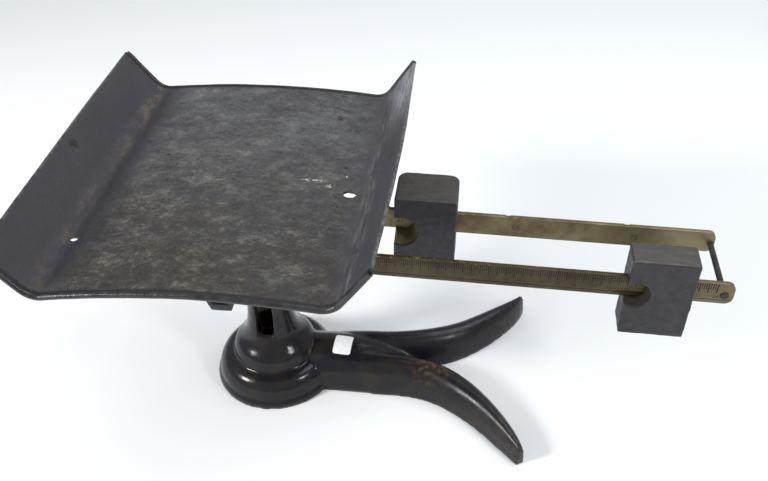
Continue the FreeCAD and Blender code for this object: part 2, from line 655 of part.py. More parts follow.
def carrier():
    """A casting with a spine over the hangers, two cross arms with a pad at each end, and the stem's hub."""
    low = "spine_low"
    parts = [box("spine", ("spine_wide", "2*cross_y", "spine_high"), ("-spine_wide/2", "-cross_y", low)),
             cylinder("hub", "hub_rad", "spine_high + 2", ("0", "0", "spine_low - 2"))]
    for side, y in (("front", "-cross_y - cross_wide/2"), ("rear", "cross_y - cross_wide/2")):
        parts.append(box(f"cross_{side}", ("2*cross_half", "cross_wide", "spine_high - 2"),
                         ("-cross_half", y, "spine_low + 2")))
    for i, (x, y) in enumerate(PAD_PLACES):
        parts.append(cylinder(f"pad_{i}", "pad_rad", "pad_top - spine_low - 2", (x, y, "spine_low + 2")))
    holes = [cylinder("hub_hole", "4.05", "30", ("0", "0", "spine_low - 5"))]
    for i, (x, y) in enumerate(PAD_PLACES):
        holes.append(cylinder(f"pad_hole_{i}", "rivet_rad", "40", (x, y, "spine_low - 10")))
    for i, (x, y) in enumerate(HANGER_SCREWS):
        holes.append(cylinder(f"spine_hole_{i}", "2.55", "30", (x, y, "spine_low - 5")))
    keep_on_tray(cut("tray_carrier", fuse("carrier_solid", parts), holes), "tray_carrier")


HANGER_SCREWS = [(x, y) for y in ("-load_y", "load_y") for x in ("-9", "9")]


def hanger(side, sign):
    """A hanging box around one load knife edge, with its bearing at the top of the opening."""
    body = new_body(f"hanger_{side}")
    foot = "pivot_z - 31"
    outer = [
        ("-hanger_wide/2 + 4.5", foot), ("hanger_wide/2 - 4.5", foot), ("hanger_wide/2", f"{foot} + 13"),
        ("hanger_wide/2", "pivot_z + 26"), ("spine_wide/2", "pivot_z + 32"), ("spine_wide/2", "spine_low"),
        ("-spine_wide/2", "spine_low"), ("-spine_wide/2", "pivot_z + 32"), ("-hanger_wide/2", "pivot_z + 26"),
        ("-hanger_wide/2", f"{foot} + 13"),
    ]
    pad(body, polygon(body, f"hanger_outline_{side}", "XZ_Plane", outer), "hanger_thick")
    roof = f"{LOAD_EDGE_Z} + pivot_z - ear_top"
    opening = [("-bearing_wide/2", f"{foot} + 9"), ("bearing_wide/2", f"{foot} + 9"),
               ("bearing_wide/2", roof), ("-bearing_wide/2", roof)]
    pocket(body, polygon(body, f"hanger_opening_{side}", "XZ_Plane", opening), "2*hanger_thick")
    place(body, "0", f"{sign}load_y", "0")
    holes = [cylinder(f"hanger_hole_{side}_{i}", "2.55", "18", (x, f"{sign}load_y", "spine_low - 14"))
             for i, x in enumerate(("-9", "9"))]
    keep_on_tray(cut(f"hanger_{side}_cast", body, holes), f"hanger_{side}")
    block = bearing_block(f"load_bearing_{side}", False)
    place(block, "axis_x + pivot_x - load_arm", f"{sign}load_y", LOAD_EDGE_Z)
    keep(block, f"load_bearing_{side}")


LOAD_RISE = dim("load_arm") * math.sin(math.radians(dim("droop")))
LOAD_EDGE_Z = f"pivot_z + {LOAD_RISE:.4f}"


def hanger_screws():
    """Two screws through the spine into the top of each hanger."""
    parts = []
    for i, (x, y) in enumerate(HANGER_SCREWS):
        parts.append(cylinder(f"hanger_screw_{i}", "2.5", "spine_high + 12", (x, y, "spine_low - 12")))
        parts.append(cylinder(f"hanger_screw_head_{i}", "4.4", "3", (x, y, "spine_low + spine_high")))
    keep_on_tray(fuse("hanger_screws", parts), "hanger_screws")


def stem():
    """The flat stem from the carrier's hub down the column, with an eye at its foot."""
    foot = f"link_z + {LOAD_RISE:.4f}"
    parts = [
        box("stem_bar", ("stem_thick", "stem_wide", f"spine_low - 2 - ({foot}) - 3"),
            ("-stem_thick/2", "-stem_wide/2", f"{foot} + 3")),
        cylinder("stem_eye", "eye_rad", "stem_wide", ("0", "-stem_wide/2", foot), V(0, 1, 0)),
        cylinder("stem_thread", "4", "spine_high + 10", ("0", "0", "spine_low - 4")),
    ]
    hole = cylinder("stem_eye_hole", "pin_rad + 0.1", "3*stem_wide", ("0", "-1.5*stem_wide", foot), V(0, 1, 0))
    keep_on_tray(cut("stem", fuse("stem_solid", parts), [hole]), "stem")
    body = new_body("stem_nut")
    pad(body, hexagon(body, "nut_hexagon", 7.5), "6")
    place(body, "0", "0", "spine_low + spine_high + 3")
    bore = cylinder("stem_nut_hole", "4.02", "12", ("0", "0", "spine_low + spine_high - 3"))
    keep_on_tray(cut("stem_nut_bored", body, [bore]), "stem_nut")


def hexagon(body, name, corner_radius):
    corners = [(f"{corner_radius * math.cos(math.radians(60 * i)):.4f}",
                f"{corner_radius * math.sin(math.radians(60 * i)):.4f}") for i in range(6)]
    return polygon(body, name, "XY_Plane", corners)


# Check link in the bell
def check_bar():
    """A bar screwed across the bell, with one upright ear for the fixed end of the check link."""
    parts = [
        box("check_bar_flat", ("14", "2*cross_bar_half", "cross_bar_high"),
            ("pivot_x - 7", "-cross_bar_half", "cross_bar_low")),
        box("check_bar_post", ("8", "stem_wide", "link_z - cross_bar_low - 2"),
            ("pivot_x - 4", "-stem_wide/2", "cross_bar_low + 1")),
        cylinder("check_bar_eye", "eye_rad", "stem_wide", ("pivot_x", "-stem_wide/2", "link_z"), V(0, 1, 0)),
    ]
    holes = [cylinder("check_bar_eye_hole", "pin_rad + 0.05", "3*stem_wide",
                      ("pivot_x", "-1.5*stem_wide", "link_z"), V(0, 1, 0))]
    for i, y in enumerate(("-dome_rad + 10", "dome_rad - 10")):
        holes.append(cylinder(f"check_bar_hole_{i}", "2.05", "20", ("pivot_x", y, "cross_bar_low - 5")))
    keep_on_base(cut("check_bar", fuse("check_bar_solid", parts), holes), "check_bar")


def check_bar_screws():
    parts = []
    for i, y in enumerate(("-dome_rad + 10", "dome_rad - 10")):
        parts.append(cylinder(f"check_screw_{i}", "2", "cross_bar_high + 7", ("pivot_x", y, "cross_bar_low")))
        parts.append(cylinder(f"check_screw_head_{i}", "3.8", "2.6", ("pivot_x", y, "cross_bar_low - 2.6")))
    keep_on_base(fuse("check_bar_screws", parts), "check_bar_screws")


def check_link():
    """Two side plates and their pins, which tie the stem's foot to the check bar parallel to the load arm."""
    plates = []
    for side, y in (("front", "-link_gap - link_plate"), ("rear", "link_gap")):
        plate = box(f"link_plate_{side}", ("load_arm", "link_plate", "10"), ("-load_arm", y, "-5"))
        ends = [cylinder(f"link_end_{side}_{i}", "eye_rad", "link_plate", (x, y, "0"), V(0, 1, 0))
                for i, x in enumerate(("0", "-load_arm"))]
        solid = fuse(f"link_side_{side}", [plate] + ends)
        holes = [cylinder(f"link_hole_{side}_{i}", "pin_rad + 0.02", "3*link_plate",
                          (x, f"{y} - link_plate", "0"), V(0, 1, 0)) for i, x in enumerate(("0", "-load_arm"))]
        plates.append(cut(f"link_side_drilled_{side}", solid, holes))
    pair = doc.addObject("Part::Compound", "check_link_plates")
    pair.Links = plates
    pins = []
    for name, x in (("check_pin_fixed", "0"), ("check_pin_stem", "-load_arm")):
        shank = cylinder(name + "_shank", "pin_rad", "2*link_gap + 2*link_plate + 2",
                         (x, "-link_gap - link_plate - 1", "0"), V(0, 1, 0))
        heads = [cylinder(f"{name}_head_{i}", "pin_rad + 1.3", "1.5", (x, y, "0"), V(0, 1, 0))
                 for i, y in enumerate(("-link_gap - link_plate - 1.6", "link_gap + link_plate + 0.1"))]
        pins.append(fuse(name, [shank] + heads))
    for obj, label in zip([pair] + pins, ("check_link_plates", "check_pin_fixed", "check_pin_stem")):
        obj.Placement.Rotation = FreeCAD.Rotation(V(0, 1, 0), dim("droop"))
        place(obj, "axis_x + pivot_x", "0", "link_z")
        keep(obj, label)


# Build, test and write
base_casting()
beam()
tray()
tray_rivets()
carrier()
for side, sign in (("front", "-"), ("rear", "")):
    hanger(side, sign)
hanger_screws()
stem()
check_bar()
check_bar_screws()
check_link()
doc.recompute()

for obj in doc.Objects:
    if "Invalid" in obj.State or "Error" in obj.State:
        raise SystemExit(f"{obj.Name} did not build: {obj.State}")
for label, obj in KEPT.items():
    if obj.Shape.isNull() or not obj.Shape.isValid() or not obj.Shape.Solids:
        raise SystemExit(f"{label} has no valid solid")

os.makedirs("parts", exist_ok=True)
for label, obj in KEPT.items():
    obj.Shape.exportStep(f"parts/{label}.step")
    box_of = obj.Shape.optimalBoundingBox()
    print(f"{label}: {len(obj.Shape.Solids)} solid(s), {obj.Shape.Volume / 1000:.1f} cm3, "
          f"x {box_of.XMin:.1f}..{box_of.XMax:.1f} y {box_of.YMin:.1f}..{box_of.YMax:.1f} "
          f"z {box_of.ZMin:.1f}..{box_of.ZMax:.1f}")
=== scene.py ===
import json
import math

import bpy
from mathutils import Matrix, Vector


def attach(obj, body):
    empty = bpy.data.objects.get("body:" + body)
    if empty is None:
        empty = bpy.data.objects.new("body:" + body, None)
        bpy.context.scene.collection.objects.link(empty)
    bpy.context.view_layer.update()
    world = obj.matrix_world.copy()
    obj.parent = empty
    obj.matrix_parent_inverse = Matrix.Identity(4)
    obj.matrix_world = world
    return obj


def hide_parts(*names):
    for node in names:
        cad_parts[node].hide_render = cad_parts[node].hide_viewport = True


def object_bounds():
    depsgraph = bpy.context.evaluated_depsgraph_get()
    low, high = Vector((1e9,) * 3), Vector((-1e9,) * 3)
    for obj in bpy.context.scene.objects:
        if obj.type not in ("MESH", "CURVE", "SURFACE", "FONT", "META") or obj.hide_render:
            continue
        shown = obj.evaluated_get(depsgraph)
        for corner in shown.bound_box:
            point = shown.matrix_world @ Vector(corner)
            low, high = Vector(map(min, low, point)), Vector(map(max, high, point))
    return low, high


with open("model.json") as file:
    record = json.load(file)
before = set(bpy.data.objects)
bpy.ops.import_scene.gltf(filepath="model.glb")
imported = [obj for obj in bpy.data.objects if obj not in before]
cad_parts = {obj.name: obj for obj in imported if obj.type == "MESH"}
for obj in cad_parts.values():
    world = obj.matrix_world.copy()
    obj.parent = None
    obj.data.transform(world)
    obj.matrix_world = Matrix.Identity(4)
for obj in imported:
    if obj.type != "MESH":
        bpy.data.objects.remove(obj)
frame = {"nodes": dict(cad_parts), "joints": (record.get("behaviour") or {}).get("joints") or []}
nodes = frame["nodes"]
cadBox = [list(corner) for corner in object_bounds()]
joints = {joint["name"]: joint for joint in frame["joints"]}
print("frame loaded")


def deselectAll():
    if bpy.context.object and bpy.context.object.mode != "OBJECT":
        bpy.ops.object.mode_set(mode="OBJECT")
    bpy.ops.object.select_all(action="DESELECT")


def activate(piece):
    deselectAll()
    piece.select_set(True)
    bpy.context.view_layer.objects.active = piece


def named(name):
    # the object that an operator has just added
    piece = bpy.context.object
    piece.name = name
    piece.data.name = name
    return piece


def modify(piece, kind, **settings):
    # adds a modifier and applies it at once
    activate(piece)
    modifier = piece.modifiers.new(kind.lower(), kind)
    for key, value in settings.items():
        setattr(modifier, key, value)
    bpy.ops.object.modifier_apply(modifier=modifier.name)


def pick(piece, what, test):
    # selects the vertices, or the edges with their ends, that pass the test, and stays in edit mode
    activate(piece)
    bpy.ops.object.mode_set(mode="EDIT")
    bpy.ops.mesh.select_mode(type=what)
    bpy.ops.mesh.select_all(action="DESELECT")
    bpy.ops.object.mode_set(mode="OBJECT")
    mesh = piece.data
    if what == "VERT":
        for vertex in mesh.vertices:
            vertex.select = test(vertex.co)
    else:
        for edge in mesh.edges:
            ends = [mesh.vertices[i].co for i in edge.vertices]
            edge.select = test((ends[0] + ends[1]) / 2) and all(test(end) for end in ends)
    bpy.ops.object.mode_set(mode="EDIT")


def outOfEdit():
    bpy.ops.object.mode_set(mode="OBJECT")


def bake(piece):
    # the place of a piece goes into its mesh
    activate(piece)
    bpy.ops.object.transform_apply(location=True, rotation=True, scale=True)


def join(pieces, name):
    deselectAll()
    for piece in pieces:
        piece.select_set(True)
    bpy.context.view_layer.objects.active = pieces[0]
    bpy.ops.object.join()
    return named(name)


def cutAway(piece, cutter):
    modify(piece, "BOOLEAN", operation="DIFFERENCE", object=cutter, solver="EXACT")
    bpy.data.objects.remove(cutter)


def smoothShade(piece, angle):
    activate(piece)
    bpy.ops.object.shade_smooth_by_angle(angle=math.radians(angle), keep_sharp_edges=False)


def copyOf(node, name):
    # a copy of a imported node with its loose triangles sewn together
    deselectAll()
    piece = nodes[node].copy()
    piece.data = nodes[node].data.copy()
    piece.parent = None
    bpy.context.scene.collection.objects.link(piece)
    for key in [k for k in piece.keys() if k.startswith("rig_")]:
        del piece[key]
    piece.name = name
    piece.data.name = name
    piece.data.materials.clear()
    activate(piece)
    bpy.ops.object.mode_set(mode="EDIT")
    bpy.ops.mesh.select_all(action="SELECT")
    bpy.ops.mesh.remove_doubles(threshold=0.00001)
    bpy.ops.mesh.customdata_custom_splitnormals_clear()
    outOfEdit()
    return piece


def finishPiece(piece, material, body, slot, *replaced):
    piece.data.materials.clear()
    piece.data.materials.append(material)
    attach(piece, body)
    if replaced:
        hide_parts(*replaced)
    deselectAll()


# the axes of the pedestal, the beam and the tray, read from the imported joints
fulcrum = Vector(joints["beam_tilt"]["pos_m"])
loadPoint = Vector(joints["platform_level"]["pos_m"])
along = Vector(joints["front_poise_slide"]["axis"])
beamPlace = Matrix.Translation(fulcrum) @ Matrix.Rotation(math.atan2(-along.z, along.x), 4, "Y")
pedestalX = fulcrum.x - 0.009  # the column's axis is 9 mm to the left of the fulcrum
trayX = loadPoint.x


def addCamera():
    facts = {
        "place": (0.2552 + pedestalX, -0.7242, 0.7937),
        "turn": 8.88,  # degrees to the left of straight back
        "down": 38.62,
        "roll": -2.85,
        "lens": 40.14,  # mm, on a 36 mm wide sensor
    }
    turn, down, roll = (math.radians(facts[k]) for k in ("turn", "down", "roll"))
    ahead = Vector((-math.sin(turn) * math.cos(down), math.cos(turn) * math.cos(down), -math.sin(down)))
    level = Vector((math.cos(turn), math.sin(turn), 0))
    upright = level.cross(ahead)
    right = math.cos(roll) * level + math.sin(roll) * upright
    up = math.cos(roll) * upright - math.sin(roll) * level
    bpy.ops.object.camera_add()
    camera = bpy.context.object
    camera.name = "studioCamera"
    turned = Matrix((right, up, -ahead)).transposed().to_4x4()
    camera.matrix_world = Matrix.Translation(facts["place"]) @ turned
    camera.data.lens = facts["lens"]
    camera.data.sensor_width = 36
    camera.data.clip_start = 0.02
    bpy.context.scene.camera = camera


addCamera()


def linear(text):
    # sRGB hex to the linear colour that a socket takes
    parts = [int(text[i:i + 2], 16) / 255 for i in (1, 3, 5)]
    return tuple(c / 12.92 if c <= 0.04045 else ((c + 0.055) / 1.055) ** 2.4 for c in parts) + (1.0,)


def newMaterial(name):
    material = bpy.data.materials.new(name)
    material.use_nodes = True
    tree = material.node_tree
    return material, tree, tree.nodes["Principled BSDF"]


def addNode(tree, kind, links=None, values=None, **settings):
    # one node with its settings, the values of its sockets, and links into it from (node, socket)
    node = tree.nodes.new(kind)
    for key, value in settings.items():
        setattr(node, key, value)
    for socket, value in (values or {}).items():
        node.inputs[socket].default_value = value
    for socket, source in (links or {}).items():
        tree.links.new(source[0].outputs[source[1]], node.inputs[socket])
    return node


def addFloor():
    facts = {"half": 6.0, "colour": "#F6F8F9"}
    bpy.ops.mesh.primitive_plane_add(size=2 * facts["half"], location=(0, 0, -0.0002))
    floor = named("studioFloor")
    material, _, shader = newMaterial("mattWhitePaper")
    shader.inputs["Base Color"].default_value = linear(facts["colour"])
    shader.inputs["Roughness"].default_value = 0.9
    shader.inputs["Specular IOR Level"].default_value = 0.2
    floor.data.materials.append(material)


def addLights():
    lamps = [
        # name, place, aimed at, size, watts, colour
        ("softboxLeft", (-1.42, -0.78, 1.06), (-0.1, 0.0, 0.08), 0.42, 26, "#FFFFFF"),
        ("softboxRight", (1.11, -0.67, 1.03), (-0.1, 0.0, 0.1), 0.24, 5.5, "#FFFDFA"),
        ("softboxAbove", (0.75, 0.45, 1.9), (0.2, 0.0, 0.1), 1.5, 20, "#F8FBFF"),
    ]
    for name, place, target, size, watts, colour in lamps:
        bpy.ops.object.light_add(type="AREA", location=place)
        lamp = bpy.context.object
        lamp.name = name
        lamp.data.shape = "DISK"
        lamp.data.size = size
        lamp.data.energy = watts
        lamp.data.color = linear(colour)[:3]
        lamp.rotation_euler = (Vector(target) - Vector(place)).to_track_quat("-Z", "Y").to_euler()
    world = bpy.data.worlds.new("paleStudio")
    bpy.context.scene.world = world
    world.use_nodes = True
    background = world.node_tree.nodes["Background"]
    background.inputs["Color"].default_value = linear("#F5F8FB")
    background.inputs["Strength"].default_value = 0.50


addFloor()
addLights()
bpy.context.scene.view_settings.view_transform = "Standard"
print("camera and light ready")


def noise(tree, coords, millimetres, detail=4, roughness=0.55, stretch=(1, 1, 1), offset=(0, 0, 0)):
    # a noise pattern whose grains are about so many millimetres across, stretched along the axes
    places = addNode(tree, "ShaderNodeMapping", {"Vector": (coords, "Object")},
                     {"Scale": tuple(1 / s for s in stretch), "Location": offset})
    return addNode(tree, "ShaderNodeTexNoise", {"Vector": (places, "Vector")},
                   {"Scale": 1000 / millimetres, "Detail": detail, "Roughness": roughness})


def blendColours(tree, amount, first, second):
    # amount is (node, socket) or a number; colours are hex text or (node, socket)
    node = tree.nodes.new("ShaderNodeMix")
    node.data_type = "RGBA"
    for socket, value in ((node.inputs[0], amount), (node.inputs[6], first), (node.inputs[7], second)):
        if isinstance(value, tuple):
            tree.links.new(value[0].outputs[value[1]], socket)
        elif isinstance(value, str):
            socket.default_value = linear(value)
        else:
            socket.default_value = value
    return node


def limits(tree, source, low, high, toLow=0.0, toHigh=1.0):
    # maps low..high of a pattern to toLow..toHigh, smoothly
    return addNode(tree, "ShaderNodeMapRange", {"Value": source},
                   {"From Min": low, "From Max": high, "To Min": toLow, "To Max": toHigh},
                   interpolation_type="SMOOTHSTEP")


def times(tree, first, second):
    return addNode(tree, "ShaderNodeMath", {0: first, 1: second}, operation="MULTIPLY")


def bump(tree, shader, source, millimetres, strength=1.0, before=None):
    # relief whose full height is so many millimetres
    links = {"Height": source}
    if before:
        links["Normal"] = (before, "Normal")
    node = addNode(tree, "ShaderNodeBump", links, {"Distance": millimetres / 1000, "Strength": strength})
    tree.links.new(node.outputs["Normal"], shader.inputs["Normal"])
    return node


def edgeWear(tree, coords, low, high, grain):
    # 1 on convex edges, broken up by a grain in millimetres
    shape = addNode(tree, "ShaderNodeNewGeometry")
    edge = limits(tree, (shape, "Pointiness"), low, high)
    breaks = limits(tree, (noise(tree, coords, grain), "Fac"), 0.38, 0.62)
    return times(tree, (edge, "Result"), (breaks, "Result"))


def japannedCastIron():
    # asphalt varnish baked on sand-cast iron: a deep glossy brown-black film over a faintly pebbled skin
    facts = {
        "film": "#1B1A1F", "thin": "#26231F", "bare": "#544C41", "rust": "#5C4026", "bore": "#8A857A",
        "scuff": "#453D37", "patch": 22, "pebble": 2.6, "gloss": 0.12, "dull": 0.22, "shine": 0.30,
    }
    material, tree, shader = newMaterial("japannedCastIron")
    coords = addNode(tree, "ShaderNodeTexCoord")
    broad = noise(tree, coords, facts["patch"])
    patches = limits(tree, (broad, "Fac"), 0.42, 0.66)
    film = blendColours(tree, (patches, "Result"), facts["film"], facts["thin"])
    worn = edgeWear(tree, coords, 0.53, 0.60, 5)
    rubbed = blendColours(tree, (worn, "Value"), (film, 2), facts["bare"])
    # the toes are scuffed brown
    parts = addNode(tree, "ShaderNodeSeparateXYZ", {"Vector": (coords, "Object")})
    toe = limits(tree, (parts, "X"), pedestalX + 0.225, pedestalX + 0.300, 0.0, 0.45)
    scuffs = limits(tree, (noise(tree, coords, 9, detail=8, roughness=0.7), "Fac"), 0.40, 0.62)
    scuffed = times(tree, (toe, "Result"), (scuffs, "Result"))
    rubbed = blendColours(tree, (scuffed, "Value"), (rubbed, 2), facts["scuff"])
    # a rusty spot where the legs part
    away = addNode(tree, "ShaderNodeVectorMath", {0: (coords, "Object")},
                   {1: (pedestalX + 0.196, -0.022, 0.038)}, operation="DISTANCE")
    near = limits(tree, (away, "Value"), 0.034, 0.006)
    specks = limits(tree, (noise(tree, coords, 6, detail=6), "Fac"), 0.46, 0.60)
    spot = times(tree, (near, "Result"), (specks, "Result"))
    rusty = blendColours(tree, (spot, "Value"), (rubbed, 2), facts["rust"])
    # the bore of the column was never varnished, and its colour is also painted pale: painted light standing
    # in for the little light that reaches inside
    flat = addNode(tree, "ShaderNodeMapping", {"Vector": (coords, "Object")},
                   {"Location": (-pedestalX, 0, 0), "Scale": (1, 1, 0)})
    fromAxis = addNode(tree, "ShaderNodeVectorMath", {0: (flat, "Vector")}, operation="LENGTH")
    inside = limits(tree, (fromAxis, "Value"), 0.0245, 0.0235)
    cast = blendColours(tree, (inside, "Result"), (rusty, 2), facts["bore"])
    tree.links.new(cast.outputs[2], shader.inputs["Base Color"])
    dull = limits(tree, (noise(tree, coords, 14), "Fac"), 0.35, 0.7, facts["gloss"], facts["dull"])
    # the legs have lost more of their gloss than the bell
    legward = limits(tree, (parts, "X"), pedestalX + 0.08, pedestalX + 0.20, 0.0, 0.14)
    rough = addNode(tree, "ShaderNodeMath", {0: (dull, "Result"), 1: (legward, "Result")}, operation="ADD")
    tree.links.new(rough.outputs["Value"], shader.inputs["Roughness"])
    shader.inputs["Specular IOR Level"].default_value = facts["shine"]
    bump(tree, shader, (noise(tree, coords, facts["pebble"], detail=3), "Fac"), 0.22, 0.6)
    return material


def paintedCastIron(name, facts):
    # oil paint on cast iron, matt with age, paler on upward faces from dust and from painted light from
    # above, and rubbed to brown metal at the edges
    material, tree, shader = newMaterial(name)
    coords = addNode(tree, "ShaderNodeTexCoord")
    mottle = limits(tree, (noise(tree, coords, 9, detail=6), "Fac"), 0.36, 0.66)
    paint = blendColours(tree, (mottle, "Result"), facts["paint"], facts["faded"])
    # upward faces are painted paler: part dust, part painted light where the tops face the lamps
    shape = addNode(tree, "ShaderNodeNewGeometry")
    parts = addNode(tree, "ShaderNodeSeparateXYZ", {"Vector": (shape, "Normal")})
    upward = limits(tree, (parts, "Z"), 0.7, 0.97)
    streaks = noise(tree, coords, 5, detail=5, stretch=(5, 1, 1))
    streakedTopCover = limits(tree, (streaks, "Fac"), 0.25, 0.75, 0.35, 1.0)
    topLightAndDustCover = times(tree, (upward, "Result"), (streakedTopCover, "Result"))
    dustedAndLitTops = blendColours(tree, (topLightAndDustCover, "Value"), (paint, 2), facts["dustAndPaintedTopLight"])
    worn = edgeWear(tree, coords, facts["edge"][0], facts["edge"][1], 4)
    rubbed = blendColours(tree, (worn, "Value"), (dustedAndLitTops, 2), facts["bare"])
    # the walls of a reading scoop are rubbed to the bare casting and painted pale, painted light standing in
    # for light on the walls
    for at, face, deep, radius, wallBareAndPaintedLight in facts.get("scoops", ()):
        middle = fulcrum + along * at
        flat = addNode(tree, "ShaderNodeMapping", {"Vector": (coords, "Object")},
                       {"Location": (-middle.x, 0, -middle.z), "Scale": (1, 0, 1)})
        away = addNode(tree, "ShaderNodeVectorMath", {0: (flat, "Vector")}, operation="LENGTH")
        near = limits(tree, (away, "Value"), radius + 0.0005, radius - 0.001)
        depth = addNode(tree, "ShaderNodeSeparateXYZ", {"Vector": (coords, "Object")})
        inside = limits(tree, (depth, "Y"), face + 0.0012, face + 0.003, 0.0, 0.85)
        before = limits(tree, (depth, "Y"), face + deep + 0.001, face + deep)
        recess = times(tree, (inside, "Result"), (before, "Result"))
        scoopWallsBareAndPaintedLight = times(tree, (near, "Result"), (recess, "Value"))
        rubbed = blendColours(tree, (scoopWallsBareAndPaintedLight, "Value"), (rubbed, 2), wallBareAndPaintedLight)
    tree.links.new(rubbed.outputs[2], shader.inputs["Base Color"])
    rough = limits(tree, (noise(tree, coords, 7), "Fac"), 0.3, 0.7,
                   facts["roughness"] - 0.08, facts["roughness"] + 0.1)
    tree.links.new(rough.outputs["Result"], shader.inputs["Roughness"])
    shader.inputs["IOR"].default_value = 1.5
    grain = bump(tree, shader, (noise(tree, coords, 1.8, detail=4), "Fac"), 0.15, 0.7)
    bump(tree, shader, (noise(tree, coords, 11, detail=2), "Fac"), 0.5, 0.5, grain)
    return material


def patinatedSheetIron():
    # rolled sheet iron, oil-blackened: bluish-black where untouched, rubbed olive grey on the bed,
    # rusty in the left bend
    facts = {
        "black": "#403E44", "front": "#3A362C", "rear": "#5E5E60", "pale": "#77756A", "rust": "#7A6F5A",
        # the pale colour for the rear of the right wing is painted light
        "bright": "#D0CEC6", "edge": "#1C1B1E", "crest": "#8C8A80", "paintedWingLight": "#94949A",
        # the near-black colour in the knocks is painted shade
        "grime": "#232221", "streak": "#262523", "paintedDentShade": "#17161A",
        "knocks": ((-0.168, 0.001, 0.3195), (0.168, 0.004, 0.3192)), "bed": 0.131, "bedShift": 0.012,
        "scratches": ((0.0715, -0.002, 0.018, 0.0035), (0.090, -0.010, 0.007, 0.005),
                      (0.104, 0.010, 0.004, 0.003)),
        "bend": -0.139, "foot": 0.152, "greasy": (0.1845, 0.1885), "metallic": 0.22, "roughness": 0.50,
    }
    material, tree, shader = newMaterial("patinatedSheetIron")
    coords = addNode(tree, "ShaderNodeTexCoord")
    place = addNode(tree, "ShaderNodeMapping", {"Vector": (coords, "Object")}, {"Location": (-trayX, 0, 0)})
    parts = addNode(tree, "ShaderNodeSeparateXYZ", {"Vector": (place, "Vector")})
    shifted = addNode(tree, "ShaderNodeMath", {0: (parts, "X")}, {1: facts["bedShift"]},
                      operation="SUBTRACT")
    sideways = addNode(tree, "ShaderNodeMath", {0: (shifted, "Value")}, operation="ABSOLUTE")
    onBed = limits(tree, (sideways, "Value"), facts["bed"] + 0.014, facts["bed"] - 0.026)
    clouds = limits(tree, (noise(tree, coords, 60, detail=8, roughness=0.62), "Fac"), 0.34, 0.66, 0.35, 1.0)
    rubbing = times(tree, (onBed, "Result"), (clouds, "Result"))
    rearward = limits(tree, (parts, "Y"), -0.16, 0.13)
    bed = blendColours(tree, (rearward, "Result"), facts["front"], facts["rear"])
    ground = blendColours(tree, (rubbing, "Value"), facts["black"], (bed, 2))
    # fine rubbing marks, and larger patches worn thin towards the front
    rubs = noise(tree, coords, 2.2, detail=8, roughness=0.75, stretch=(2, 1, 1))
    marks = limits(tree, (rubs, "Fac"), 0.50, 0.66)
    frontward = limits(tree, (parts, "Y"), 0.12, -0.10, 0.35, 1.0)
    broad = noise(tree, coords, 24, detail=8, roughness=0.7, offset=(3, 1, 0))
    patches = limits(tree, (broad, "Fac"), 0.46, 0.62)
    worn = times(tree, (patches, "Result"), (frontward, "Result"))
    thin = times(tree, (worn, "Value"), (onBed, "Result"))
    flecks = times(tree, (marks, "Result"), (thin, "Value"))
    flecked = blendColours(tree, (flecks, "Value"), (ground, 2), facts["pale"])
    # brown rust gathers along the left bend, and the right wing's foot is rubbed
    fromBend = addNode(tree, "ShaderNodeMath", {0: (parts, "X")}, {1: -facts["bend"]}, operation="ADD")
    band = addNode(tree, "ShaderNodeMath", {0: (fromBend, "Value")}, operation="ABSOLUTE")
    rear = limits(tree, (parts, "Y"), -0.02, 0.17, 0.4, 0.8)
    narrow = limits(tree, (band, "Value"), 0.012, 0.001)
    line = addNode(tree, "ShaderNodeMapRange", {"Value": (narrow, "Result"), "To Max": (rear, "Result")})
    blots = noise(tree, coords, 17, detail=12, roughness=0.85, stretch=(1, 2, 1))
    stains = limits(tree, (blots, "Fac"), 0.44, 0.62)
    rust = times(tree, (line, "Result"), (stains, "Result"))
    rusty = blendColours(tree, (rust, "Value"), (flecked, 2), facts["rust"])
    fromFoot = addNode(tree, "ShaderNodeMath", {0: (parts, "X")}, {1: facts["foot"]}, operation="SUBTRACT")
    foot = addNode(tree, "ShaderNodeMath", {0: (fromFoot, "Value")}, operation="ABSOLUTE")
    stripe = limits(tree, (foot, "Value"), 0.012, 0.002, 0.0, 0.6)
    wear = noise(tree, coords, 5, detail=6, roughness=0.7, stretch=(1, 7, 1))
    longMarks = limits(tree, (wear, "Fac"), 0.46, 0.62)
    rubbedFoot = times(tree, (stripe, "Result"), (longMarks, "Result"))
    footed = blendColours(tree, (rubbedFoot, "Value"), (rusty, 2), facts["pale"])
    # bright scratches beside the rusted hole
    scratched = footed
    for x, y, wide, deep in facts["scratches"]:
        spot = addNode(tree, "ShaderNodeMapping", {"Vector": (coords, "Object")},
                       {"Location": (-(x + pedestalX) / wide, -y / deep, 0),
                        "Scale": (1 / wide, 1 / deep, 0)})
        away = addNode(tree, "ShaderNodeVectorMath", {0: (spot, "Vector")}, operation="LENGTH")
        near = limits(tree, (away, "Value"), 1.0, 0.3)
        chips = limits(tree, (noise(tree, coords, 2.6, detail=5, roughness=0.7), "Fac"), 0.50, 0.56)
        bare = times(tree, (near, "Result"), (chips, "Result"))
        scratched = blendColours(tree, (bare, "Value"), (scratched, 2), facts["bright"])
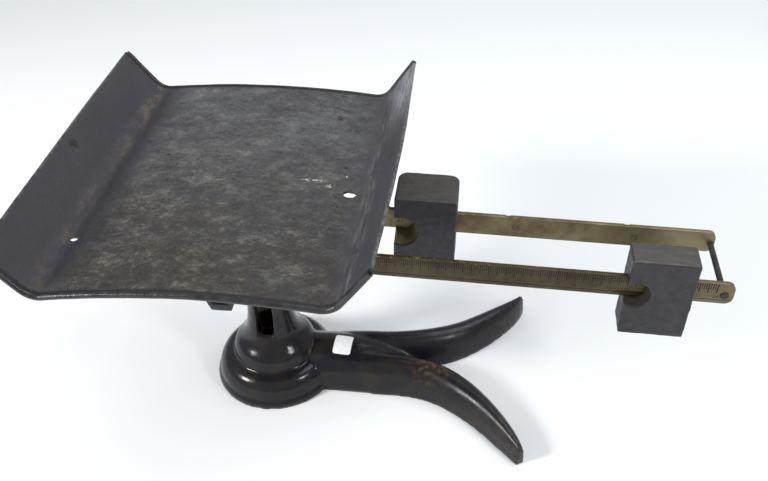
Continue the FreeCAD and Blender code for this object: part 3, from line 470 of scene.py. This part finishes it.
    # painted light: the rear of the right wing is painted pale where light from the left falls on its inner
    # face
    wingward = limits(tree, (parts, "X"), 0.150, 0.172)
    rearmost = limits(tree, (parts, "Y"), 0.040, 0.150)
    paleLitRegion = times(tree, (wingward, "Result"), (rearmost, "Result"))
    wingLightStreaks = noise(tree, coords, 5, detail=6, roughness=0.7, stretch=(1, 6, 1), offset=(7, 0, 0))
    wingLightBreakup = limits(tree, (wingLightStreaks, "Fac"), 0.34, 0.60, 0.25, 1.0)
    paintedWingLight = times(tree, (paleLitRegion, "Value"), (wingLightBreakup, "Result"))
    scratched = blendColours(tree, (paintedWingLight, "Value"), (scratched, 2), facts["paintedWingLight"])
    rubbedEdge = edgeWear(tree, coords, 0.54, 0.62, 6)
    edged = blendColours(tree, (rubbedEdge, "Value"), (scratched, 2), facts["pale"])
    # grime in the pits, and black grease along the front and rear edges
    pitting = noise(tree, coords, 3.4, detail=9, roughness=0.8)
    grime = limits(tree, (pitting, "Fac"), 0.50, 0.40, 0.0, 0.65)
    pitted = times(tree, (grime, "Result"), (onBed, "Result"))
    greyed = blendColours(tree, (pitted, "Value"), (edged, 2), facts["grime"])
    # years of goods have left the bed mottled, in streaks along its length
    mottle = noise(tree, coords, 19, detail=14, roughness=0.90, stretch=(1.5, 1, 1), offset=(2, 5, 0))
    shade = limits(tree, (mottle, "Fac"), 0.50, 0.38, 0.0, 0.85)
    shaded = times(tree, (shade, "Result"), (onBed, "Result"))
    dirty = blendColours(tree, (shaded, "Value"), (greyed, 2), facts["streak"])
    polish = limits(tree, (mottle, "Fac"), 0.50, 0.64, 0.0, 0.62)
    crests = times(tree, (polish, "Result"), (onBed, "Result"))
    grimy = blendColours(tree, (crests, "Value"), (dirty, 2), facts["crest"])
    # painted shade: two knocks, one in each wing, are painted dark, standing in for the shade in their dents
    for knock in facts["knocks"]:
        far = addNode(tree, "ShaderNodeVectorMath", {0: (place, "Vector")}, {1: knock}, operation="DISTANCE")
        close = limits(tree, (far, "Value"), 0.0075, 0.003, 0.0, 0.95)
        ragged = limits(tree, (noise(tree, coords, 3, detail=5), "Fac"), 0.38, 0.48)
        dentShadeMask = times(tree, (close, "Result"), (ragged, "Result"))
        grimy = blendColours(tree, (dentShadeMask, "Value"), (grimy, 2), facts["paintedDentShade"])
    fromMiddle = addNode(tree, "ShaderNodeMath", {0: (parts, "Y")}, operation="ABSOLUTE")
    greasy = limits(tree, (fromMiddle, "Value"), *facts["greasy"])
    greased = blendColours(tree, (greasy, "Result"), (grimy, 2), facts["edge"])
    tree.links.new(greased.outputs[2], shader.inputs["Base Color"])
    rough = limits(tree, (clouds, "Result"), 0.35, 1.0, facts["roughness"] - 0.1, facts["roughness"] + 0.06)
    tree.links.new(rough.outputs["Result"], shader.inputs["Roughness"])
    shader.inputs["Metallic"].default_value = facts["metallic"]
    fine = bump(tree, shader, (marks, "Result"), 0.12, 0.5)
    pits = bump(tree, shader, (pitting, "Fac"), 1.0, 1.0, fine)
    bump(tree, shader, (noise(tree, coords, 38, detail=2), "Fac"), 2.2, 0.45, pits)
    return material


def oiledEdgeIron():
    # the wired edge of the sheet, black and slick with handling
    material, tree, shader = newMaterial("handledWiredEdge")
    coords = addNode(tree, "ShaderNodeTexCoord")
    clouds = limits(tree, (noise(tree, coords, 12, detail=6), "Fac"), 0.38, 0.66)
    skin = blendColours(tree, (clouds, "Result"), "#1F1E22", "#2E2C2B")
    tree.links.new(skin.outputs[2], shader.inputs["Base Color"])
    rough = limits(tree, (clouds, "Result"), 0.0, 1.0, 0.26, 0.42)
    tree.links.new(rough.outputs["Result"], shader.inputs["Roughness"])
    bump(tree, shader, (noise(tree, coords, 3, detail=5), "Fac"), 0.5, 0.8)
    return material


def agedBrass(name, facts):
    # rolled cartridge brass under a brown skin of oxide, still yellow where hands rub its edges; that yellow
    # on the top edge is also a painted glint, and the outer end is painted lighter as painted light
    material, tree, shader = newMaterial(name)
    coords = addNode(tree, "ShaderNodeTexCoord")
    clouds = limits(tree, (noise(tree, coords, 30, detail=9, roughness=0.7), "Fac"), 0.30, 0.70)
    skin = blendColours(tree, (clouds, "Result"), facts["oxide"], facts["olive"])
    spots = limits(tree, (noise(tree, coords, 1.8, detail=5, roughness=0.7), "Fac"), 0.56, 0.72, 0.0, 0.6)
    spotted = blendColours(tree, (spots, "Result"), (skin, 2), facts["spot"])
    # places measured from the fulcrum
    above = addNode(tree, "ShaderNodeVectorMath", {0: (coords, "Object")}, {1: tuple(-fulcrum)},
                    operation="ADD")
    distance = addNode(tree, "ShaderNodeSeparateXYZ", {"Vector": (above, "Vector")})
    # painted light: the outer end of each bar is painted lighter, standing in for light falling there
    paintedLightOuterEnd = limits(tree, (distance, "X"), 0.40, 0.475)
    spotted = blendColours(tree, (paintedLightOuterEnd, "Result"), (spotted, 2), facts["tip"])
    height = addNode(tree, "ShaderNodeVectorMath", {0: (above, "Vector")}, {1: (-along.z, 0, along.x)},
                     operation="DOT_PRODUCT")
    # the yellow along the top edge is worn bare brass and also a painted glint
    top = limits(tree, (height, "Value"), 0.0112, 0.0128)
    chips = noise(tree, coords, facts["wear"], detail=7, roughness=0.75)
    breaks = limits(tree, (chips, "Fac"), 0.52, 0.62)
    inner = limits(tree, (distance, "X"), 0.34, 0.12, facts["outerWearAndPaintedGlint"], 1.0)
    paleLitRegion = times(tree, (top, "Result"), (inner, "Result"))
    worn = times(tree, (paleLitRegion, "Value"), (breaks, "Result"))
    rubbed = blendColours(tree, (worn, "Value"), (spotted, 2), facts["wornYellowAndPaintedGlint"])
    if "engraved" in facts:
        # black wax left in the engraved lines
        face, wax = facts["engraved"]
        parts = addNode(tree, "ShaderNodeSeparateXYZ", {"Vector": (coords, "Object")})
        deeper = limits(tree, (parts, "Y"), face + 0.00008, face + 0.00016)
        shallower = limits(tree, (parts, "Y"), face + 0.0006, face + 0.0005)
        level = addNode(tree, "ShaderNodeMath", {0: (height, "Value")}, operation="ABSOLUTE")
        within = limits(tree, (level, "Value"), 0.0124, 0.0119)
        grooved = times(tree, (deeper, "Result"), (shallower, "Result"))
        waxed = times(tree, (grooved, "Value"), (within, "Result"))
        rubbed = blendColours(tree, (waxed, "Value"), (rubbed, 2), wax)
    tree.links.new(rubbed.outputs[2], shader.inputs["Base Color"])
    rough = limits(tree, (clouds, "Result"), 0.0, 1.0, facts["roughness"] + 0.08, facts["roughness"] - 0.06)
    tree.links.new(rough.outputs["Result"], shader.inputs["Roughness"])
    shader.inputs["Metallic"].default_value = facts["metallic"]
    rolled = noise(tree, coords, 1.6, detail=3, stretch=(14, 1, 1))
    bump(tree, shader, (rolled, "Fac"), 0.04, 0.6)
    return material


def plainMetal(name, facts):
    # one metal under a thin uneven tarnish, with fine turning or grinding marks
    material, tree, shader = newMaterial(name)
    coords = addNode(tree, "ShaderNodeTexCoord")
    clouds = limits(tree, (noise(tree, coords, facts["patch"], detail=6), "Fac"), 0.36, 0.66)
    skin = blendColours(tree, (clouds, "Result"), facts["clean"], facts["tarnish"])
    tree.links.new(skin.outputs[2], shader.inputs["Base Color"])
    rough = limits(tree, (clouds, "Result"), 0.0, 1.0, facts["roughness"], facts["roughness"] + 0.14)
    tree.links.new(rough.outputs["Result"], shader.inputs["Roughness"])
    shader.inputs["Metallic"].default_value = facts["metallic"]
    lines = noise(tree, coords, facts["grain"], detail=3, stretch=facts["stretch"])
    bump(tree, shader, (lines, "Fac"), 0.05, 0.6)
    return material


def labelPaper():
    # coated white label stock, a little grey, with a faint felt side
    material, tree, shader = newMaterial("coatedLabelPaper")
    coords = addNode(tree, "ShaderNodeTexCoord")
    soil = limits(tree, (noise(tree, coords, 5, detail=5), "Fac"), 0.4, 0.7)
    paper = blendColours(tree, (soil, "Result"), "#F3F4F5", "#E9EBED")
    tree.links.new(paper.outputs[2], shader.inputs["Base Color"])
    shader.inputs["Roughness"].default_value = 0.45
    shader.inputs["IOR"].default_value = 1.5
    bump(tree, shader, (noise(tree, coords, 0.6, detail=3), "Fac"), 0.02, 0.5)
    return material


japan = japannedCastIron()
# in both paints the dust colour on upward faces serves as dust and as painted light on the tops
poisePaint = paintedCastIron("paintedPoiseIron", {
    "paint": "#1F1D21", "faded": "#29272B", "dustAndPaintedTopLight": "#484540", "bare": "#5C5548", "edge": (0.52, 0.58),
    "roughness": 0.50,
    # distance along the beam, place of the face, depth, radius and wall colour of each scoop; the wall colour
    # is bare casting painted pale as painted light
    "scoops": ((0.150, 0.0155, 0.029, 0.019, "#7D7154"), (0.3956, -0.0585, 0.019, 0.0165, "#3A352B"))})
blackPaint = paintedCastIron("paintedLeverIron", {
    "paint": "#1E1D20", "faded": "#2B292A", "dustAndPaintedTopLight": "#3A3835", "bare": "#574F43", "edge": (0.52, 0.58),
    "roughness": 0.48})
sheetIron = patinatedSheetIron()
# in both brasses the tip colour is painted light at the outer end, and the yellow is worn brass with a
# painted glint
brass = agedBrass("agedCartridgeBrass", {
    "oxide": "#5C5038", "olive": "#7A7052", "spot": "#443B28", "tip": "#7D7558", "outerWearAndPaintedGlint": 1.0,
    "wornYellowAndPaintedGlint": "#8E7C4C", "metallic": 0.6, "roughness": 0.44, "wear": 8})
darkBrass = agedBrass("darkenedCartridgeBrass", {
    "oxide": "#3C3421", "olive": "#50472F", "spot": "#2A2417", "tip": "#6C624B", "outerWearAndPaintedGlint": 0.15,
    "wornYellowAndPaintedGlint": "#9A8348", "metallic": 0.5, "roughness": 0.40, "wear": 5, "engraved": (-0.0445, "#1D180F")})
edgeIron = oiledEdgeIron()
groundSteel = plainMetal("groundToolSteel", {
    "clean": "#9A9893", "tarnish": "#5E5850", "metallic": 1.0, "roughness": 0.28,
    "patch": 6, "grain": 0.5, "stretch": (1, 9, 1)})
turnedSteel = plainMetal("turnedMildSteel", {
    "clean": "#85807A", "tarnish": "#564E46", "metallic": 0.9, "roughness": 0.38,
    "patch": 8, "grain": 0.7, "stretch": (1, 1, 1)})
rodSteel = plainMetal("drawnSteelRod", {
    "clean": "#38332F", "tarnish": "#2C2825", "metallic": 0.1, "roughness": 0.60,
    "patch": 14, "grain": 0.7, "stretch": (1, 9, 1)})
lead = plainMetal("pouredLead", {
    "clean": "#6E7074", "tarnish": "#4C4C4E", "metallic": 0.8, "roughness": 0.55,
    "patch": 5, "grain": 2, "stretch": (1, 1, 1)})
darkFill = plainMetal("blackenedEngraving", {
    "clean": "#37301F", "tarnish": "#2A2418", "metallic": 0.3, "roughness": 0.6,
    "patch": 3, "grain": 1, "stretch": (1, 1, 1)})
paper = labelPaper()
print("materials ready")


def castCopy(node, name, facts):
    # a packed casting remeshed and smoothed, so that its corners and joins are round as poured metal is
    piece = copyOf(node, name)
    modify(piece, "REMESH", mode="VOXEL", voxel_size=facts["voxel"], adaptivity=0.0)
    modify(piece, "SMOOTH", factor=0.5, iterations=facts["passes"])
    texture = bpy.data.textures.new(name + "Sand", "CLOUDS")
    texture.noise_scale = facts["lump"]
    modify(piece, "DISPLACE", texture=texture, texture_coords="LOCAL", strength=facts["unevenness"],
           mid_level=0.5)
    smoothShade(piece, 60)
    return piece


def easedCopy(node, name, ease):
    # a packed machined part with its edges broken
    piece = copyOf(node, name)
    bpy.ops.object.mode_set(mode="EDIT")
    bpy.ops.mesh.select_all(action="SELECT")
    bpy.ops.mesh.dissolve_limited(angle_limit=math.radians(1))
    outOfEdit()
    modify(piece, "BEVEL", width=ease, segments=2, limit_method="ANGLE", angle_limit=math.radians(40),
           harden_normals=False)
    smoothShade(piece, 30)
    return piece


def makePedestal():
    facts = {"voxel": 0.0022, "passes": 3, "unevenness": 0.00022, "lump": 0.014, "drift": 0.0042}
    piece = castCopy("base_casting", "pedestal", facts)
    # the sole is ground flat
    pick(piece, "VERT", lambda co: co.z < 0.0016)
    bpy.ops.transform.resize(value=(1, 1, 0), center_override=(0, 0, 0))
    outOfEdit()
    # the old casting's legs warped a little towards the rear as they cooled
    pick(piece, "VERT", lambda co: abs(co.x - pedestalX - 0.222) < 0.018)
    bpy.ops.transform.translate(value=(0, facts["drift"], 0), use_proportional_edit=True,
                                proportional_edit_falloff="SMOOTH", proportional_size=0.075)
    outOfEdit()
    finishPiece(piece, japan, "base", "japanned_iron", "base_casting")
    return piece


def makeLevers():
    facts = {"voxel": 0.0016, "passes": 3, "unevenness": 0.0003, "lump": 0.008}
    castings = (
        ("beam_yoke", "beamYoke", "beam"), ("tray_carrier", "trayCarrier", "platform"),
        ("hanger_front", "hangerFront", "platform"), ("hanger_rear", "hangerRear", "platform"),
    )
    for node, name, body in castings:
        piece = castCopy(node, name, facts)
        finishPiece(piece, blackPaint, body, "black_iron", node)


def makePoises():
    facts = {"voxel": 0.0011, "passes": 4, "unevenness": 0.0005, "lump": 0.009}
    for node, name in (("front_poise", "frontPoise"), ("rear_poise", "rearPoise")):
        piece = castCopy(node, name, facts)
        finishPiece(piece, poisePaint, node, "poise_iron", node)


def inBeamFrame(piece):
    # from level, about the fulcrum, to the beam's resting slope
    piece.matrix_world = beamPlace @ piece.matrix_world
    bake(piece)


def barBlank(name, facts):
    low = (facts["start"], facts["middle"] - facts["thick"] / 2, -facts["high"] / 2)
    size = (facts["end"] - facts["start"], facts["thick"], facts["high"])
    bpy.ops.mesh.primitive_cube_add(size=1, location=[a + b / 2 for a, b in zip(low, size)])
    piece = named(name)
    piece.scale = size
    bake(piece)
    # the outer end's upper and lower corners are rounded
    edge = facts["high"] / 2
    pick(piece, "EDGE", lambda co: abs(co.x - facts["end"]) < 1e-5 and abs(abs(co.z) - edge) < 1e-5)
    bpy.ops.mesh.bevel(offset=facts["corner"], segments=6, affect="EDGES")
    outOfEdit()
    return piece


def groove(place, size):
    bpy.ops.mesh.primitive_cube_add(size=1, location=place)
    cutter = named("groove")
    cutter.scale = size
    bake(cutter)
    return cutter


def grooveRow(first, pitch, count, low, high, face, width, depth):
    # a row of equal upright grooves in a bar's face
    cutter = groove((first, face, (low + high) / 2), (width, 2 * depth, high - low))
    modify(cutter, "ARRAY", count=count, use_relative_offset=False, use_constant_offset=True,
           constant_offset_displace=(pitch, 0, 0))
    return cutter


def tieHole(facts):
    bpy.ops.mesh.primitive_cylinder_add(vertices=24, radius=facts["hole"], depth=0.03,
                                        location=(facts["tieAt"], facts["middle"], facts["tieHeight"]),
                                        rotation=(math.pi / 2, 0, 0))
    cutter = named("tieHole")
    bake(cutter)
    return cutter


def numeral(text, place, size, face):
    # one generic figure stamped on a bar's face
    bpy.ops.object.text_add(location=(place[0], face, place[1]), rotation=(math.pi / 2, 0, 0))
    figure = bpy.context.object
    figure.data.body = text
    figure.data.size = size
    figure.data.align_x = "CENTER"
    figure.data.extrude = 0.00006
    figure.data.resolution_u = 2
    activate(figure)
    bpy.ops.object.convert(target="MESH")
    figure = bpy.context.object
    bake(figure)
    return figure


def makeBars():
    front = {"start": -0.012, "end": 0.4968, "middle": -0.042, "thick": 0.005, "high": 0.026, "corner": 0.008,
             "tieAt": 0.4875, "tieHeight": -0.0022, "hole": 0.0022}
    rear = dict(front, middle=0.042, end=0.4915)
    # each kind of tick is (every so many, reach, width)
    ticks = {"first": 0.0705, "pitch": 0.00222, "count": 184, "depth": 0.0003,
             "kinds": ((1, 0.0085, 0.0008), (4, 0.0125, 0.0011))}
    scribed = {"height": -0.0085, "long": 0.6, "wide": 0.0006}
    notches = {"first": 0.1376, "pitch": 0.1293, "count": 3, "deep": 0.0028, "line": (0.0008, 0.0006, 0.0255)}
    figuring = {"count": 24, "ticks": 8, "height": -0.0062, "size": 0.0058}
    notchFiguring = {"beside": 0.009, "step": 25, "height": -0.004, "size": 0.009}

    bar = barBlank("frontBar", front)
    face = front["middle"] - front["thick"] / 2
    top = front["high"] / 2
    for step, reach, width in ticks["kinds"]:
        cutAway(bar, grooveRow(ticks["first"], ticks["pitch"] * step, ticks["count"] // step + 1,
                               top - reach, top + 0.001, face, width, ticks["depth"]))
    middle = (front["start"] + front["end"]) / 2
    scribedLine = (scribed["long"], 2 * ticks["depth"], scribed["wide"])
    cutAway(bar, groove((middle, face, scribed["height"]), scribedLine))
    cutAway(bar, tieHole(front))
    modify(bar, "BEVEL", width=0.0005, segments=2, limit_method="ANGLE", angle_limit=math.radians(60))
    smoothShade(bar, 30)
    inBeamFrame(bar)
    finishPiece(bar, darkBrass, "beam", "aged_brass", "front_bar")

    bar = barBlank("rearBar", rear)
    face = rear["middle"] - rear["thick"] / 2
    for i in range(notches["count"]):
        at = notches["first"] + i * notches["pitch"]
        bpy.ops.mesh.primitive_cylinder_add(vertices=3, radius=notches["deep"] * 1.3, depth=0.02,
                                            location=(at, rear["middle"], top + 0.0009),
                                            rotation=(math.pi / 2, 0, 0))
        cutter = named("notch")
        pick(cutter, "VERT", lambda co: True)
        bpy.ops.transform.rotate(value=math.pi, orient_axis="Z", center_override=tuple(cutter.location))
        outOfEdit()
        bake(cutter)
        cutAway(bar, cutter)
        cutAway(bar, groove((at, face, 0.001), notches["line"]))
    cutAway(bar, tieHole(rear))
    modify(bar, "BEVEL", width=0.0005, segments=2, limit_method="ANGLE", angle_limit=math.radians(60))
    smoothShade(bar, 30)
    inBeamFrame(bar)
    finishPiece(bar, brass, "beam", "aged_brass", "rear_bar")

    figures = []
    face = front["middle"] - front["thick"] / 2
    for i in range(figuring["count"]):
        at = ticks["first"] + figuring["ticks"] * i * ticks["pitch"]
        figures.append(numeral(str(i + 1), (at, figuring["height"]), figuring["size"], face))
    face = rear["middle"] - rear["thick"] / 2
    for i in range(notches["count"]):
        at = notches["first"] + i * notches["pitch"] + notchFiguring["beside"]
        text = str(notchFiguring["step"] * (i + 1))
        figures.append(numeral(text, (at, notchFiguring["height"]), notchFiguring["size"], face))
    stamped = join(figures, "barFigures")
    inBeamFrame(stamped)
    finishPiece(stamped, darkFill, "beam", "aged_brass")


def trayLine(facts):
    # the upper line of the tray from its left tip to its right: wing, bend, crowned bed, bend, wing
    lean = math.asin(facts["bedHalf"] / facts["crown"])
    rise = math.radians(facts["wingAngle"])
    endZ = facts["bedTop"] - facts["crown"] * (1 - math.cos(lean))
    centre = (facts["bedHalf"] + math.sin(lean) * facts["bend"], endZ + math.cos(lean) * facts["bend"])
    finish = (centre[0] + math.sin(rise) * facts["bend"], centre[1] - math.cos(rise) * facts["bend"])
    tipZ = finish[1] + math.tan(rise) * (facts["half"] - finish[0])
    right = []
    for i in range(facts["bedSteps"]):
        turn = lean * i / facts["bedSteps"]
        right.append((facts["crown"] * math.sin(turn),
                      facts["bedTop"] - facts["crown"] * (1 - math.cos(turn))))
    for i in range(facts["bendSteps"]):
        turn = -lean + (rise + lean) * i / facts["bendSteps"]
        right.append((centre[0] + math.sin(turn) * facts["bend"], centre[1] - math.cos(turn) * facts["bend"]))
    for i in range(facts["wingSteps"] + 1):
        part = i / facts["wingSteps"]
        right.append((finish[0] + (facts["half"] - finish[0]) * part, finish[1] + (tipZ - finish[1]) * part))
    return [(-x, z) for x, z in reversed(right[1:])] + right


def pull(piece, place, move, size):
    # pulls the sheet about one place, as a knock or a pair of hands would
    nearest = min(piece.data.vertices, key=lambda v: (v.co - Vector(place)).length)
    pick(piece, "VERT", lambda co: (co - nearest.co).length < 1e-6)
    bpy.ops.transform.translate(value=move, use_proportional_edit=True, proportional_edit_falloff="SMOOTH",
                                proportional_size=size)
    outOfEdit()


def levelOff(piece):
    # the wings' upper edges were sheared level
    ceiling = cadBox[1][2] - 0.0002
    pick(piece, "VERT", lambda co: co.z > ceiling)
    bpy.ops.transform.resize(value=(1, 1, 0), center_override=(0, 0, ceiling))
    outOfEdit()


def makeTray():
    facts = {
        "bedTop": 0.2894, "crown": 1.240, "bedHalf": 0.128, "bend": 0.022, "wingAngle": 54, "half": 0.1765,
        "bedSteps": 34, "bendSteps": 8, "wingSteps": 8, "deep": 0.3832, "rows": 104, "thick": 0.003,
        "bead": 0.0032, "firstStrip": 0.001,
        # how far the cage's columns are lifted or bowed, by (column, row) or column
        "lifts": {(0, 0): -0.0050, (2, 0): -0.0012, (0, 2): 0.0022, (2, 2): -0.0030, (1, 0): 0.0020},
        "bows": {0: 0.0005, 2: 0.005},
        # place and half widths of each hole
        "holes": (((0.112, -0.020), (0.0072, 0.0058)), ((-0.149, -0.110), (0.0045, 0.0040)),
                  ((-0.099, 0.036), (0.0016, 0.0016)), ((0.101, 0.027), (0.0020, 0.0014))),
    }
    line = trayLine(facts)
    bpy.ops.mesh.primitive_grid_add(x_subdivisions=1, y_subdivisions=facts["rows"], size=1)
    sheet = named("tray")
    sheet.scale = (facts["firstStrip"], facts["deep"], 1)
    sheet.location = (line[0][0] + trayX + facts["firstStrip"] / 2, 0, line[0][1])
    bake(sheet)
    edge = max(v.co.x for v in sheet.data.vertices)
    pick(sheet, "VERT", lambda co: co.x > edge - 1e-5)
    bpy.ops.transform.translate(value=(line[1][0] - line[0][0] - facts["firstStrip"], 0,
                                       line[1][1] - line[0][1]))
    for (x0, z0), (x1, z1) in zip(line[1:], line[2:]):
        bpy.ops.mesh.extrude_region_move(TRANSFORM_OT_translate={"value": (x1 - x0, 0, z1 - z0)})
    outOfEdit()

    # the old sheet is twisted a little, and its wings are bowed
    bpy.ops.object.add(type="LATTICE", location=(trayX, 0, 0.30))
    cage = bpy.context.object
    cage.scale = (0.36, 0.40, 0.07)
    cage.data.points_u, cage.data.points_v, cage.data.points_w = 3, 3, 2
    cage.data.interpolation_type_u = "KEY_CARDINAL"
    cage.data.interpolation_type_v = "KEY_CARDINAL"
    cage.data.interpolation_type_w = "KEY_LINEAR"
    for i, point in enumerate(cage.data.points):
        u, v = i % 3, (i // 3) % 3
        point.co_deform.z += facts["lifts"].get((u, v), 0.0) / cage.scale.z
        if v == 1:
            point.co_deform.x += facts["bows"].get(u, 0.0) / cage.scale.x
    bpy.context.view_layer.update()
    modify(sheet, "LATTICE", object=cage)
    bpy.data.objects.remove(cage)

    texture = bpy.data.textures.new("handlingDents", "CLOUDS")
    texture.noise_scale = 0.055
    modify(sheet, "DISPLACE", texture=texture, texture_coords="LOCAL", strength=0.0016, mid_level=0.5)
    pull(sheet, (pedestalX - 0.182, 0.030, 0.315), (0.0016, 0, -0.001), 0.010)
    pull(sheet, (pedestalX + 0.148, 0.028, 0.310), (-0.0016, 0, -0.001), 0.010)

    # the front and rear edges are rolled round a wire
    for side, name in ((-1, "trayBeadFront"), (1, "trayBeadRear")):
        pick(sheet, "EDGE", lambda co: abs(co.y - side * facts["deep"] / 2) < 1e-4)
        bpy.ops.mesh.duplicate()
        bpy.ops.mesh.separate(type="SELECTED")
        outOfEdit()
        wire = [o for o in bpy.context.selected_objects if o != sheet][0]
        wire.name = name
        wire.data.name = name
        activate(wire)
        bpy.ops.object.convert(target="CURVE")
        wire = bpy.context.object
        wire.data.bevel_depth = facts["bead"]
        wire.data.bevel_resolution = 3
        wire.data.use_fill_caps = True
        bpy.ops.object.convert(target="MESH")
        wire = bpy.context.object
        pick(wire, "VERT", lambda co: True)
        bpy.ops.transform.translate(value=(0, 0, -facts["bead"] * 0.75))
        outOfEdit()
        levelOff(wire)
        smoothShade(wire, 50)
        finishPiece(wire, edgeIron, "platform", "tray_iron")
    activate(sheet)
    modify(sheet, "SOLIDIFY", thickness=facts["thick"], offset=-1)
    levelOff(sheet)

    # rust has eaten through in places
    for at, size in facts["holes"]:
        bpy.ops.mesh.primitive_ico_sphere_add(subdivisions=3, radius=1, location=(0, 0, 0))
        cutter = named("rustHole")
        cutter.scale = (size[0], size[1], 0.02)
        cutter.location = (pedestalX + at[0], at[1], 0.283)
        bake(cutter)
        ragged = bpy.data.textures.new("raggedHole", "CLOUDS")
        ragged.noise_scale = 0.003
        modify(cutter, "DISPLACE", texture=ragged, texture_coords="LOCAL", strength=0.0022, mid_level=0.5)
        cutAway(sheet, cutter)
    smoothShade(sheet, 40)
    finishPiece(sheet, sheetIron, "platform", "tray_iron", "platform_tray")


def makeSmallParts():
    parts = [
        # node, name, material, body, slot, broken edge in metres
        ("tie_rod", "tieRod", rodSteel, "beam", "plain_steel", 0.0005),
        ("balance_nut", "balanceNut", brass, "balance_nut", "aged_brass", 0.0004),
        ("balance_screw", "balanceScrew", turnedSteel, "beam", "plain_steel", 0.0004),
        ("bar_rivets_front", "barRivetsFront", turnedSteel, "beam", "plain_steel", 0.0006),
        ("bar_rivets_rear", "barRivetsRear", turnedSteel, "beam", "plain_steel", 0.0006),
        ("hanger_screws", "hangerScrews", turnedSteel, "platform", "plain_steel", 0.0005),
        ("stem", "stemRod", turnedSteel, "platform", "plain_steel", 0.0004),
        ("stem_nut", "stemNut", turnedSteel, "platform", "plain_steel", 0.0005),
        ("check_bar", "checkBar", turnedSteel, "base", "plain_steel", 0.0005),
        ("check_bar_screws", "checkBarScrews", turnedSteel, "base", "plain_steel", 0.0004),
        ("check_link_plates", "checkLinkPlates", turnedSteel, "check_link", "plain_steel", 0.0003),
    ]
    for node, name, material, body, slot, ease in parts:
        piece = easedCopy(node, name, ease)
        finishPiece(piece, material, body, slot, node)
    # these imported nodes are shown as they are
    kept = {
        "fulcrum_bearing_front": groundSteel, "fulcrum_bearing_rear": groundSteel,
        "fulcrum_knife_front": groundSteel, "fulcrum_knife_rear": groundSteel,
        "load_knife_front": groundSteel, "load_knife_rear": groundSteel,
        "load_bearing_front": groundSteel, "load_bearing_rear": groundSteel, "front_poise_plug": lead,
        "rear_poise_plug": lead, "tray_rivets": turnedSteel, "check_pin_fixed": turnedSteel,
        "check_pin_stem": turnedSteel,
    }
    for node, material in kept.items():
        nodes[node].data.materials.clear()
        nodes[node].data.materials.append(material)


def makeLabel(pedestal):
    # a blank paper label stuck on the root of the fork
    facts = {"wide": 0.0215, "deep": 0.026, "at": (0.0865, -0.006), "turn": -4, "thick": 0.00015,
             "rounded": 0.92}
    bpy.ops.mesh.primitive_grid_add(x_subdivisions=16, y_subdivisions=18, size=1)
    label = named("blankLabel")
    label.scale = (facts["wide"], facts["deep"], 1)
    bake(label)
    half = (facts["wide"] / 2, facts["deep"] / 2)
    pick(label, "VERT", lambda co: abs(abs(co.x) - half[0]) < 1e-5 and abs(abs(co.y) - half[1]) < 1e-5)
    bpy.ops.transform.resize(value=(facts["rounded"], facts["rounded"], 1))
    outOfEdit()
    label.rotation_euler = (0, 0, math.radians(facts["turn"]))
    label.location = (pedestalX + facts["at"][0], facts["at"][1], 0.09)
    bake(label)
    modify(label, "SHRINKWRAP", target=pedestal, wrap_method="PROJECT", use_project_z=True,
           use_negative_direction=True, use_positive_direction=False, offset=0.0003)
    modify(label, "SOLIDIFY", thickness=facts["thick"], offset=0)
    smoothShade(label, 40)
    finishPiece(label, paper, "base", "japanned_iron")


pedestal = makePedestal()
print("pedestal ready")
makeTray()
print("tray ready")
makeBars()
print("bars ready")
makePoises()
makeLevers()
makeSmallParts()
makeLabel(pedestal)
print("all pieces ready")
